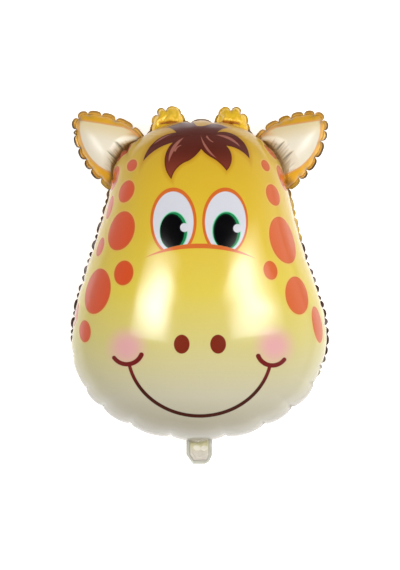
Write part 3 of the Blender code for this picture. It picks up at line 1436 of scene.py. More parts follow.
class FilmFinish:
    """The finish of one film."""

    def __init__(self, name: str, skin: Skin, effects: Effects) -> None:
        """Start a material that has the film's ripples.

        Args:
            name: Name of the material.
            skin: How the bare film looks.
            effects: The shared node groups.
        """
        self.material = bpy.data.materials.new(name)
        self.material.use_nodes = True
        self.shader = self.material.node_tree.nodes["Principled BSDF"]
        self.skin = skin
        self.pen = pen = Drawing(self.material.node_tree, effects)
        film = pen.group(
            effects.film,
            Place=pen.add("TexCoord").outputs["Object"],
            Ripple_Size=skin.ripple,
            Haze=skin.haze,
            Gloss=skin.gloss,
        )
        bump = pen.add("Bump")
        pen.feed_all(bump, Strength=1.0, Distance=skin.relief, Height=film.outputs["Height"])
        pen.feed_all(self.shader, Normal=bump.outputs["Normal"])
        self.sunk = pen.parts(pen.stored("crease"))[0]
        self.rough = film.outputs["Roughness"]
        # Painted shade: the colour is darker at the bottom of each crease.
        self.shade = pen.times(film.outputs["Shade"], pen.blend(self.sunk, 1.0, 1.0 - skin.shadow))
        self.coat: object = skin.coat
        self.colour: object = INKS.gold

    def ink(self, share: object, colour: object) -> None:
        """Lay an ink over the colour so far, by a share."""
        self.colour = self.pen.mix(share, self.colour, colour)

    def finish(self, metal: object, alpha: object = 1.0) -> None:
        """Give the film the colour so far, and lay the clear coat over it.

        Args:
            metal: How metallic it is.
            alpha: How much it hides of what is behind it.
        """
        self.pen.feed_all(
            self.shader,
            Base_Color=self.pen.dim(self.colour, self.shade),
            Metallic=metal,
            Alpha=alpha,
            Roughness=self.rough,
            Coat_Weight=self.coat,
            Coat_Roughness=self.skin.coat_roughness,
        )


class HeadFinish(FilmFinish):
    """The printed face and the plain gold back of the head.

    The ranges are in millimetres: up or across the picture, or from the weld along the film.
    """

    # The ground runs from the printed yellow crown to the cream muzzle; towards the chin it greys,
    # partly print and partly painted shade of the film that turns down there.
    GROUND = (
        (0.04, INKS.chin_shaded),
        (0.15, INKS.chin),
        (0.33, INKS.muzzle),
        (0.48, INKS.cheek),
        (0.66, INKS.brow),
        (1.0, INKS.crown),
    )
    GROUND_UP = (-290.0, 290.0)
    EDGE_REFLECTION_UP = (-60.0, 40.0)
    EDGE_REFLECTION_REACH = (4.0, 44.0)
    DULL_SHADED_WELD = (1.8, 9.0)
    DULL_CROWN = (245.0, 285.0)
    CHIN = (-120.0, -190.0)
    CHIN_SHADE = (10.0, 70.0)
    COATED_BORDER = (30.0, 80.0)
    FLANK_FOOT = (-150.0, -60.0)
    FLANK_TOP = (205.0, 265.0)
    SPOT_LIGHT_SIDES = (-60.0, 60.0)

    def __init__(self, effects: Effects) -> None:
        """Paint the face.

        Args:
            effects: The shared node groups.
        """
        skin = Skin(0.07, 0.0002, haze=0.04, gloss=0.11, shadow=0.25, coat=0.5, coat_roughness=0.02)
        super().__init__("head_film", skin, effects)
        pen = self.pen
        flat = pen.stored("laid_flat")
        printed = pen.stored("print")
        _, self.up, sheet = pen.parts(printed)
        self.inland = pen.parts(flat)[2]
        pen.draw_on(flat)
        self.colour = pen.ramp(pen.between(self.up, *self.GROUND_UP, kind="LINEAR"), self.GROUND)
        self._spots()
        pen.draw_on(printed)
        # Painted reflection: pink along the weld on the upper face.
        border = pen.glow(self.inland, *self.EDGE_REFLECTION_REACH, 0.7)
        self.ink(pen.times(pen.between(self.up, *self.EDGE_REFLECTION_UP), border), INKS.border)
        self._blushes()
        self._hair()
        self._eyes()
        self._mouth()
        self._shine()
        face = pen.between(sheet, *FRONT)
        self.colour = pen.mix(face, INKS.gold, self.colour)
        self.finish(metal=pen.blend(face, 0.9, 0.0))

    def _shine(self) -> None:
        """Make weld and crown dull, paint shade near the weld and on the chin's border, and make the
        flanks less coated.
        """
        pen, up, inland = self.pen, self.up, self.inland
        # The share away from the weld: near the weld the film is dull and has painted shade.
        clean = pen.between(inland, *self.DULL_SHADED_WELD)
        rough = pen.blend(clean, 0.9, self.rough)
        self.rough = pen.blend(pen.between(up, *self.DULL_CROWN), rough, 0.35)
        border = pen.between(inland, *self.CHIN_SHADE, 0.38, 1.0)
        chin = pen.blend(pen.between(up, *self.CHIN), 1.0, border)
        # Painted shade: darker near the weld and along the chin's border.
        self.shade = pen.times(self.shade, pen.blend(clean, 0.75, 1.0), chin)
        border = pen.glow(inland, *self.COATED_BORDER, 1.0)
        flank = pen.times(pen.between(up, *self.FLANK_FOOT), pen.glow(up, *self.FLANK_TOP, 1.0))
        coat = pen.blend(border, self.skin.coat, pen.blend(flank, 0.08, 0.5))
        self.coat = pen.times(clean, coat)

    def _spots(self) -> None:
        """Print the coat's spots, with a thin darker edge and a pale glow round it; their one orange
        is painted darker on the left and lighter on the right as painted shade and light.
        """
        pen = self.pen
        away = pen.either([pen.oval(spot) for spot in FACE.spots])
        side = pen.between(pen.parts(pen.place)[0], *self.SPOT_LIGHT_SIDES)
        self.ink(pen.glow(away, 0.0, 4.5, 0.5), INKS.spot_glow)
        self.ink(pen.cover(away), INKS.spot_edge)
        # Painted shade and light: the spots' orange is darker on the left and lighter on the right.
        fill = pen.mix(side, INKS.spot_shaded_left, INKS.spot_lit_right)
        self.ink(pen.cover(away, grow=-1.8), fill)

    def _blushes(self) -> None:
        """Print the soft pink cheeks."""
        for cheek in FACE.blushes:
            away = self.pen.circle(cheek)
            self.ink(self.pen.glow(away, -cheek.radius * 0.85, 0.0, 0.8), INKS.blush)

    def _hair(self) -> None:
        """Print the tuft over the brow."""
        pen = self.pen
        locks = [pen.crescent(lock) for lock in FACE.side_locks]
        locks += [pen.both(pen.circle(belly), pen.swung(edge)) for belly, edge in FACE.front_locks]
        parting = pen.beyond(pen.crescent(FACE.parting))
        cap = pen.both(pen.oval(FACE.cap), pen.crescent(FACE.cap_cuts), parting)
        away = pen.either([*locks, cap])
        fill = pen.mix(pen.between(self.up, *FACE.tips), INKS.hair, INKS.hair_tip)
        shines = [pen.crescent(shine) for shine in FACE.shines]
        shines += [pen.bow(shine) for shine in FACE.short_shines]
        fill = pen.mix(pen.cover(pen.either(shines), 0.6), fill, INKS.hair_shine)
        self.ink(pen.glow(away, 0.0, 9.0, 0.4), INKS.hair_glow)
        self.ink(pen.cover(away), INKS.hair_line)
        self.ink(pen.cover(away, 0.8, -1.4), fill)

    def _eyes(self) -> None:
        """Print both eyes, cut below by the line of the muzzle, and that line."""
        pen = self.pen
        over_muzzle = pen.beyond(pen.circle(FACE.muzzle))
        for eye in FACE.eyes:
            steps = (
                (pen.oval(eye.surround), INKS.eye_line, 0.0),
                (pen.oval(eye.white), INKS.eye_white, 0.0),
                (pen.oval(eye.iris.grown(1.6)), INKS.iris_edge, 0.0),
                (pen.oval(eye.iris), INKS.iris, 0.0),
                (pen.oval(eye.pupil.grown(1.2)), INKS.iris_deep, 0.0),
                (pen.oval(eye.pupil), INKS.pupil, -0.8),
                (pen.circle(eye.glint), INKS.eye_white, 0.0),
            )
            for away, colour, grow in steps:
                self.ink(pen.cover(pen.both(away, over_muzzle), 0.6, grow), colour)
        line = pen.crescent(Crescent((FACE.muzzle,), (FACE.brow,)))
        self.ink(pen.cover(line), INKS.eye_line)

    def _mouth(self) -> None:
        """Print nostrils, smile and dimples."""
        pen = self.pen
        holes = pen.either([pen.oval(hole) for hole in FACE.nostrils])
        self.ink(pen.cover(holes), INKS.nostril)
        smile = pen.line(pen.oval(FACE.smile), FACE.smile_width)
        smile = pen.both(smile, pen.less(self.up, FACE.smile_top))
        fill = pen.mix(pen.between(self.up, *FACE.smile_ends), INKS.smile, INKS.dimple)
        self.ink(pen.cover(smile), fill)
        dimples = pen.either([pen.bow(dimple) for dimple in FACE.dimples])
        self.ink(pen.cover(dimples), INKS.dimple)


@dataclass(frozen=True)
class EarPrint:
    """The print of the left ear, in millimetres, with painted shade along its crease at the head and a
    painted highlight on its roll's crest.
    """

    outer: Circle = Circle(-124.6, 286.6, 92.1)
    top: Circle = Circle(-502.6, -1683.1, 2000.0)
    top_end: Circle = Circle(-260.0, 9.5, 300.0)
    junctions: dict[Side, Circle] = by_side(Circle(-83, 190, 78), Circle(-77, 193, 72))
    top_root: Circle = Circle(-104.0, 266.0, 0.0)
    low_root: Circle = Circle(-160.0, 178.0, 0.0)
    # Painted highlight: the pale stroke on the crest of the roll, in the lit colour.
    crest_highlight: Bow = Bow((-150.0, 257.0), (-112.0, 265.5), -3.0, 6.0, 2.0)
    cream: Colour = paint("F4EAD2")
    lit: Colour = paint("FFF6DC")
    peach: Colour = paint("F0D8A0")
    line: Colour = paint("F2B060")
    band: Colour = paint("F8B826")
    glow: Colour = paint("E8A048")
    # Painted shade towards the crease at the head; the brown is partly print near the roots and partly
    # painted shade.
    shade: Colour = paint("BCA060")
    brown_print_and_shade: Colour = paint("96601C")


class EarFinish(FilmFinish):
    """Cream inside, gold band round it, plain gold behind."""

    def __init__(self, side: Side, effects: Effects) -> None:
        """Paint one ear.

        Args:
            side: The ear's side.
            effects: The shared node groups.
        """
        skin = Skin(0.05, 0.0005, haze=0.08, gloss=0.36, shadow=0.65, coat=0.7, coat_roughness=0.26)
        super().__init__(f"{side.label}_ear_film", skin, effects)
        inks, pen = EarPrint(), self.pen
        printed = pen.stored("print")
        pen.draw_on(printed, (-side.value, 1.0))
        away = pen.crescent(Crescent((inks.outer, inks.top, inks.top_end)))
        near_top = pen.crescent(Crescent((inks.top, inks.top_end)))
        root = pen.circle(inks.top_root)
        crease = pen.circle(inks.junctions[side])
        inside = pen.mix(pen.between(near_top, -34.0, 0.0, 0.0, 0.8), inks.cream, inks.peach)
        inside = pen.mix(pen.glow(root, 6.0, 36.0, 0.8), inside, inks.glow)
        # Painted shade: the cream turns olive-tan towards the crease at the head.
        inside = pen.mix(pen.glow(crease, -2.0, 20.0, 0.8), inside, inks.shade)
        # Painted highlight on the crest of the roll.
        inside = pen.mix(pen.glow(pen.bow(inks.crest_highlight), -1.0, 5.0, 0.85), inside, inks.lit)
        # The band's brown near its roots: partly print, partly painted shade where it meets the head.
        band = pen.mix(pen.glow(root, 10.0, 70.0, 0.45), inks.band, inks.brown_print_and_shade)
        band = pen.mix(pen.glow(pen.circle(inks.low_root), 4.0, 18.0, 0.8), band, inks.brown_print_and_shade)
        cream = pen.cover(away, 1.0, -0.6)
        self.colour = pen.mix(pen.cover(away, 0.8, 2.2), band, inks.line)
        self.ink(cream, inside)
        # Painted shade: a brown line along the crease at the head.
        self.ink(pen.glow(crease, -2.0, 5.0, 0.8), inks.brown_print_and_shade)
        face = pen.between(pen.parts(printed)[2], *FRONT)
        self.colour = pen.mix(face, INKS.gold, self.colour)
        self.finish(metal=pen.blend(face, 0.35, pen.blend(cream, 0.10, 0.0)))


class GoldFinish(FilmFinish):
    """The horns' bright gold film, with brown painted shade in its creases."""

    def __init__(self, effects: Effects) -> None:
        """Make the gold.

        Args:
            effects: The shared node groups.
        """
        skin = Skin(0.025, 0.0008, gloss=0.22, shadow=0.15, coat=0.2)
        super().__init__("gold_film", skin, effects)
        # Painted shade: brown ink grows deeper in the creases.
        deep = self.pen.between(self.sunk, 0.15, 0.95, 0.0, 0.9)
        self.colour = INKS.horn_gold
        self.ink(deep, INKS.gold_crease_shade)
        self.finish(metal=0.12)


class LobeRimFinish(FilmFinish):
    """The rim of ears and horns: tan gold with painted shade darkening its edge, faint along an ear's
    top, and painted light brightening an ear's foot.

    The ranges are in millimetres up the picture, the first two above the slope of an ear's top,
    and the edge is in shares of the rim's width.
    """

    EAR_TOP = (212.0, 230.0)
    HORN = (252.0, 262.0)
    EAR_FOOT = (182.0, 196.0)
    SLOPE = 0.3145
    EDGE = (0.28, 0.66)

    def __init__(self, effects: Effects) -> None:
        """Paint the rim.

        Args:
            effects: The shared node groups.
        """
        super().__init__("lobe_rim_film", Skin(0.012, 0.0008), effects)
        pen = self.pen
        across, up, reach = pen.parts(pen.stored("print"))
        above = pen.less(up, pen.times(pen.math("ABSOLUTE", across), self.SLOPE))
        top = pen.between(above, *self.EAR_TOP)
        horn = pen.between(above, *self.HORN)
        low = pen.between(up, *self.EAR_FOOT, 0.35, 1.0)
        edge = pen.between(reach, *self.EDGE)
        # Painted shade: the outer edge is darker, faintly along an ear's top and at its foot.
        dark = pen.times(edge, pen.blend(horn, pen.blend(top, 1.0, 0.5), 0.6), low)
        # Painted light: the brighter gold that stays at an ear's foot.
        self.colour = INKS.rim_lit
        self.ink(low, INKS.rim_gold)
        self.ink(horn, INKS.horn_gold)
        self.ink(dark, INKS.rim_edge_shade)
        self.finish(metal=pen.blend(edge, 0.3, 0.1))


class HeadRimFinish(FilmFinish):
    """The head's rim: olive at the top, gold where painted light falls on the right, dark brown
    painted reflection on the sides below and pearl at the chin.

    The ranges are in millimetres: across the picture for the right, up it for the rest.
    """

    RIGHT = (-1.0, 1.0)
    LIT_TOP = (176.0, 136.0)
    LIT_FOOT = (72.0, 88.0)
    BROWN = (140.0, 95.0)
    PEARL = (-120.0, -175.0)

    def __init__(self, effects: Effects) -> None:
        """Paint the rim.

        Args:
            effects: The shared node groups.
        """
        super().__init__("head_rim_film", Skin(0.012, 0.0006, gloss=0.30), effects)
        pen = self.pen
        across, up, _ = pen.parts(pen.stored("print"))
        lit = pen.times(
            pen.between(up, *self.LIT_TOP),
            pen.between(across, *self.RIGHT),
            pen.between(up, *self.LIT_FOOT),
        )
        self.colour = INKS.rim_olive
        # Painted dark reflection: dark brown on the sides below.
        self.ink(pen.between(up, *self.BROWN), INKS.rim_dark_reflection)
        # Painted light: bright gold where the rim is lit on the right.
        self.ink(lit, INKS.rim_lit)
        self.ink(pen.between(up, *self.PEARL), INKS.chin)
        self.finish(metal=0.1)


class ClearFinish(FilmFinish):
    """The milky clear film of the filling valve, yellower where glue lies in its pocket, with two
    painted highlights in it.
    """

    # Two painted highlights in the pocket.
    HIGHLIGHTS = (Oval(-5.4, -293.0, 7.0, 4.6, -12), Oval(7.6, -293.4, 6.2, 4.6, 14))
    GLUE = (-0.305, -0.284)

    def __init__(self, effects: Effects) -> None:
        """Make the film.

        Args:
            effects: The shared node groups.
        """
        skin = Skin(0.006, 0.0005, haze=0.1, gloss=0.12, coat=0.6, coat_roughness=0.03)
        super().__init__("valve_film", skin, effects)
        pen = self.pen
        pocket = pen.stored("pocket")
        _, up, fill = pen.parts(pocket)
        pen.draw_on(pocket, (1 / MM, 1 / MM))
        inside = pen.mix(pen.between(up, *self.GLUE), INKS.valve_film, INKS.valve_glue)
        highlight_patches = pen.either([pen.oval(patch) for patch in self.HIGHLIGHTS])
        inside = pen.mix(pen.cover(highlight_patches, 1.4), inside, INKS.valve_highlight)
        inside = pen.mix(pen.between(fill, 0.15, 0.9), INKS.valve_edge, inside)
        self.colour = INKS.valve_border
        self.ink(pen.between(fill, 0.0, 0.2), inside)
        self.finish(metal=0.0, alpha=pen.blend(fill, 0.55, 0.85))


# The pieces


@dataclass(frozen=True)
class HeadLobe:
    """The head: a pear-shaped bag, with its crimped rim.

    Half its width is a circle's, times the sum of the breadths with growing powers of the level,
    which is -1 at the chin and 1 on top. The waist is a soft dent in its right side, and below its
    top the chin is shifted to the left. Places along the weld are turns.
    """

    middle: float = 0.0114
    half_length: float = 0.2819
    breadth: tuple[float, ...] = (0.2085, -0.086, 0.066, 0.066)
    waist_height: float = 0.065
    waist_depth: float = 0.0070
    waist_spread: float = 0.108
    chin_shift: float = 0.0036
    chin_top: float = -0.060
    chin_end: float = -0.170
    corners: int = 1440
    summits: tuple[Point, Point] = ((0.0, -0.064), (0.0, -0.030))
    swells: tuple[Swell, Swell] = (
        Swell(0.145, 2.4, roll=0.5, roll_turn=0.5, roll_spread=0.10),
        Swell(WELD_HEIGHT, 2.2, 0.26),
    )
    shoulders: tuple[Shoulder, ...] = (
        Shoulder(0.102, 0.0045, 0.026, 0.090),
        Shoulder(0.898, 0.0125, 0.026, 0.090),
    )
    rows: tuple[PuckerRow, ...] = (
        PuckerRow(0.06, 0.190, 0.0158, 0.0026, 0.036),
        PuckerRow(0.190, 0.345, 0.0158, 0.0042, 0.036),
        PuckerRow(0.345, 0.655, 0.0180, 0.0007, 0.020),
        PuckerRow(0.655, 0.94, 0.0158, 0.0042, 0.036),
    )
    chin_cuts: tuple[float, ...] = (0.3553, 0.3903, 0.4256, 0.4706, 0.5300, 0.5759, 0.6116, 0.6381)
    scallop: float = 0.100
    highest_scallop: float = 0.0065
    crown_cuts: tuple[float, ...] = (0.0142, 0.9896)
    neck_turn: float = 0.5015
    plumps: tuple[Plump, ...] = (Plump(0.5, 0.0015, 0.17), Plump(0.0, 0.0016, 0.09))
    seed: int = 11
    rings: int = 100
    rim: Rim = Rim(
        0.0054,
        0.0022,
        bare=((0.066, 0.108), (0.886, 0.934), (0.352, 0.688)),
        whole=((0.100, 0.190), (0.845, 0.896)),
    )

    def outline(self) -> Outline:
        """The weld line, from the crown clockwise.

        Returns:
            The line, in the weld plane.
        """
        level = np.cos(np.linspace(0, math.tau, self.corners, endpoint=False))
        side = np.where(np.arange(self.corners) < self.corners / 2, 1.0, -1.0)
        wide = sum(term * level**power for power, term in enumerate(self.breadth))
        wide *= np.sqrt(np.clip(1 - level**2, 0, None))
        height = self.middle + self.half_length * level
        waist = np.exp(-(((height - self.waist_height) / self.waist_spread) ** 2))
        wide -= np.where(side > 0, self.waist_depth * waist, 0.0)
        low = eased((height - self.chin_top) / (self.chin_end - self.chin_top))
        return Outline(np.stack([side * wide - self.chin_shift * low, height], axis=-1))

    def bag(self) -> FilmBag:
        """The head's film bag.

        Returns:
            The bag, with all its creases.
        """
        outline = self.outline()
        draw = np.random.default_rng(self.seed)
        puckers = [pucker for row in self.rows for pucker in row.puckers(outline.length, draw)]
        puckers += [Pucker(cut, depth=0.0050, width=0.0050, run=0.075) for cut in self.chin_cuts]
        puckers += [Pucker(cut, depth=0.0060, width=0.016, run=0.060) for cut in self.crown_cuts]
        puckers.append(Pucker(self.neck_turn, depth=-0.0080, width=0.030, run=0.040))
        bulges = list(self.shoulders)
        for first, last in zip(self.chin_cuts, self.chin_cuts[1:]):
            height = min(self.scallop * (last - first) * outline.length, self.highest_scallop)
            bulges.append(Scallop(first, last, height))
        return FilmBag(
            name="head",
            outline=outline,
            summits=self.summits,
            swells=self.swells,
            puckers=puckers,
            rim=self.rim,
            rings=self.rings,
            place=Matrix.Translation((0, 0, WELD_HEIGHT)),
            seed=self.seed + 1,
            plump=0.0006,
            plumps=self.plumps,
            bulges=bulges,
        )


def arc(start: Point, end: Point, bow: float, count: int = 40) -> Array:
    """Points along a circular arc.

    Args:
        start: First point.
        end: Last point.
        bow: How far the arc bows to the left of the straight line.
        count: Number of steps.

    Returns:
        The points, one row each.
    """
    first, last = np.array(start), np.array(end)
    long = float(np.linalg.norm(last - first))
    along = (last - first) / long
    across = np.array([-along[1], along[0]])
    radius = (long * long / 4 + bow * bow) / (2 * bow)
    centre = (first + last) / 2 + across * (bow - radius)
    half = math.copysign(math.asin(long / (2 * abs(radius))), bow)
    angle = half * (1 - 2 * np.linspace(0, 1, count + 1))[:, None]
    return centre + across * radius * np.cos(angle) - along * radius * np.sin(angle)


def rounded(first: Array, second: Array, cut: float, steps: int = 12) -> Array:
    """Two lines that meet in a corner, with the corner rounded off.

    Args:
        first: Points of the line that ends in the corner.
        second: Points of the line that starts there.
        cut: Distance from the corner at which the rounding starts and ends.
        steps: Number of steps round it.

    Returns:
        The points, one row each.
    """
    corner = first[-1]
    before = first[np.linalg.norm(first - corner, axis=1) > cut]
    after = second[np.linalg.norm(second - corner, axis=1) > cut]
    share = np.linspace(0, 1, steps + 1)[1:-1, None]
    start, end = before[-1], after[0]
    curve = start * (1 - share) ** 2 + corner * 2 * share * (1 - share) + end * share**2
    return np.vstack([before, curve, after])


def leaned(pivot: Point, axis: Sequence[float], angle: float) -> Matrix:
    """Turn a lobe about a line in the weld plane, and lift it to the weld.

    Args:
        pivot: A point of the line.
        axis: Direction of the line.
        angle: How far to turn it, in radians.

    Returns:
        The movement.
    """
    to_pivot = Matrix.Translation((*pivot, 0))
    turned = to_pivot @ Matrix.Rotation(angle, 4, Vector(axis)) @ to_pivot.inverted()
    return Matrix.Translation((0, 0, WELD_HEIGHT)) @ turned


def spot_on(path: Sequence[Point], spot: float) -> Array:
    """The point of a path at a spot that is counted in its corners."""
    return np.array([np.interp(spot, range(len(path)), axis) for axis in zip(*path)])


@dataclass(frozen=True)
class EarLobe:
    """An ear: a leaf-shaped bag with a scalloped rim, made as the right one and mirrored.

    Each bow is how far an edge bows out of the straight line. The seam is the crease along the
    root that the gathers start from, and the border is the line that they run towards. The cuts
    are turns of the weld.
    """

    side: Side
    root_top: Point = (0.0992, 0.2645)
    tip: Point = (0.2250, 0.3060)
    root_low: Point = (0.1560, 0.1730)
    top_bow: float = 0.0150
    outer_bow: float = 0.0205
    root_bows: dict[Side, float] = by_side(-0.0030, 0.0010)
    tip_rounding: float = 0.022
    centre: Point = (0.1640, 0.2440)
    swell: Swell = Swell(0.026, 1.9, roll=0.3, roll_turn=0.86, roll_spread=0.12)
    lean: float = math.radians(5)
    border: tuple[Point, ...] = (
        (0.123, 0.273), (0.153, 0.266), (0.170, 0.250), (0.175, 0.228), (0.173, 0.190)
    )
    seam: tuple[Point, ...] = (
        (0.082, 0.276), (0.100, 0.262), (0.132, 0.238), (0.150, 0.210), (0.156, 0.170)
    )
    seam_depth: float = 0.0095
    seam_width: float = 0.0330
    gathers: int = 13
    deep_gathers: tuple[tuple[Point, Point], ...] = (
        ((0.153, 0.258), (0.133, 0.239)),
        ((0.169, 0.241), (0.146, 0.221)),
    )
    cuts: dict[Side, tuple[float, ...]] = by_side(
        (0.071, 0.157, 0.225, 0.288, 0.339, 0.396, 0.420, 0.481, 0.541, 0.592, 0.653),
        (0.06, 0.13, 0.19, 0.25, 0.30, 0.35, 0.40, 0.45, 0.53, 0.60, 0.65),
    )
    seeds: dict[Side, int] = by_side(23, 29)
    rings: int = 60
    rim: Rim = Rim(0.0064, 0.0050, tilt=0.0030, bare=((0.72, 0.99),))

    def outline(self) -> Outline:
        """The weld line of the right ear, from its top root clockwise.

        Returns:
            The line, in the weld plane.
        """
        top = arc(self.root_top, self.tip, self.top_bow)
        outer = arc(self.tip, self.root_low, self.outer_bow)
        root = arc(self.root_low, self.root_top, self.root_bows[self.side])
        return Outline(np.vstack([rounded(top, outer, self.tip_rounding), root[1:-1]]))

    def _puckers(self, length: float, draw: np.random.Generator) -> list[Pucker]:
        """The gathers of the root's weld and the creases at the rim's cuts.

        Args:
            length: Length of the weld.
            draw: Source of the chance values.

        Returns:
            The creases.
        """
        row = PuckerRow(0.75, 0.98, pitch=0.0050, depth=0.0014, run=0.032, strong_every=3)
        puckers = row.puckers(length, draw)
        for cut in self.cuts[self.side]:
            deeper, further = draw.uniform(-1, 1, 2)
            depth, run = 0.0036 * (1 + 0.3 * deeper), 0.016 * (1 + 0.4 * further)
            puckers.append(Pucker(cut, depth, 0.0115, run))
        return puckers

    def _folds(self, draw: np.random.Generator) -> list[Fold]:
        """The crease at the root, and the gathers that run from it into the ear.

        Args:
            draw: Source of the chance values.

        Returns:
            The folds.
        """
        seam = Fold(
            self.seam, self.seam_depth, self.seam_width, start_width=0.8, power=1.25, dark=0.10
        )
        folds = [seam, *(Fold(path, 0.0034, 0.0024) for path in self.deep_gathers)]
        for index in range(self.gathers):
            share = (index + 0.5 + 0.3 * draw.uniform(-1, 1)) / self.gathers
            start = spot_on(self.seam, 1.6 + 2.1 * share)
            end = spot_on(self.border, 0.5 + 3.3 * share)
            end = start + (end - start) * draw.uniform(0.55, 0.95)
            depth, width = draw.uniform(0.0006, 0.0015), draw.uniform(0.0018, 0.0030)
            folds.append(Fold((tuple(start), tuple(end)), depth, width))
        return folds

    def bag(self) -> FilmBag:
        """The ear's film bag.

        Returns:
            The bag, with all its creases.
        """
        outline = self.outline()
        seed = self.seeds[self.side]
        draw = np.random.default_rng(seed)
        hinge = (self.root_low[0] - self.root_top[0], self.root_low[1] - self.root_top[1], 0)
        return FilmBag(
            name=f"{self.side.label}_ear",
            outline=outline,
            summits=(self.centre, self.centre),
            swells=(self.swell, self.swell),
            puckers=self._puckers(outline.length, draw),
            rim=self.rim,
            rings=self.rings,
            place=self.side.mirror() @ leaned(self.root_top, hinge, self.lean),
            seed=seed + 1,
            plump=0.0008,
            folds=self._folds(draw),
            dark_depth=0.0022,
        )


@dataclass(frozen=True)
class HornLobe:
    """A horn: a short blunt knob of crinkled gold film, made as the right one and mirrored.

    The squareness is the exponent of its outline, where 2 is an ellipse. The base is the crease at
    its foot, and a cut is the turn and the depth of a crease that runs in from the weld.
    """

    side: Side
    offset: float = 0.0570
    foot: float = 0.2500
    top: float = 0.3200
    half_width: float = 0.0290
    taper: float = 0.18
    squareness: float = 3.0
    swell: Swell = Swell(0.017, 2.2)
    lean: float = math.radians(-7)
    base: tuple[Point, Point] = ((0.035, 0.291), (0.075, 0.288))
    crinkles: int = 9
    cuts: dict[Side, tuple[Point, ...]] = by_side(
        ((0.025, 0.0070), (0.121, 0.0060), (0.210, 0.0014), (0.880, 0.0016)),
        ((0.101, 0.0070), (0.994, 0.0070), (0.205, 0.0016), (0.872, 0.0014)),
    )
    seeds: dict[Side, int] = by_side(41, 43)
    rings: int = 50
    corners: int = 360
    rim: Rim = Rim(0.0036, 0.0040, tilt=0.0026, bare=((0.33, 0.67),))

    def outline(self) -> Outline:
        """The weld line of the right horn, from its top clockwise.

        Returns:
            The line, in the weld plane.
        """
        angle = np.linspace(0, math.tau, self.corners, endpoint=False)
        power = 2 / self.squareness
        across, up = (
            np.copysign(abs(part) ** power, part) for part in (np.sin(angle), np.cos(angle))
        )
        x = self.offset + self.half_width * (1 - self.taper * up) * across
        y = (self.top + self.foot) / 2 + (self.top - self.foot) / 2 * up
        return Outline(np.stack([x, y], axis=-1))

    def _folds(self, draw: np.random.Generator) -> list[Fold]:
        """The crease at the foot, and crinkles all over.

        Args:
            draw: Source of the chance values.

        Returns:
            The folds.
        """
        folds = [Fold(self.base, 0.0050, 0.0060)]
        for _ in range(self.crinkles):
            start = np.array([self.offset, 0.278]) + draw.uniform(-1, 1, 2) * (0.024, 0.008)
            end = start + draw.uniform(-1, 1, 2) * (0.016, 0.0) + (0.0, draw.uniform(0.02, 0.04))
            depth = draw.choice([-1.0, 1.0]) * draw.uniform(0.0012, 0.0030)
            width = draw.uniform(0.004, 0.008)
            folds.append(Fold((tuple(start), tuple(end)), depth, width, dark=0.35))
        return folds

    def bag(self) -> FilmBag:
        """The horn's film bag.

        Returns:
            The bag, with all its creases.
        """
        centre = (self.offset, (self.top + self.foot) / 2)
        seed = self.seeds[self.side]
        cuts = self.cuts[self.side]
        return FilmBag(
            name=f"{self.side.label}_horn",
            outline=self.outline(),
            summits=(centre, centre),
            swells=(self.swell, self.swell),
            puckers=[Pucker(turn, depth, width=0.012, run=0.024) for turn, depth in cuts],
            rim=self.rim,
            rings=self.rings,
            place=self.side.mirror() @ leaned((self.offset, self.foot), (1, 0, 0), self.lean),
            seed=seed + 1,
            plump=0.0010,
            folds=self._folds(np.random.default_rng(seed)),
        )


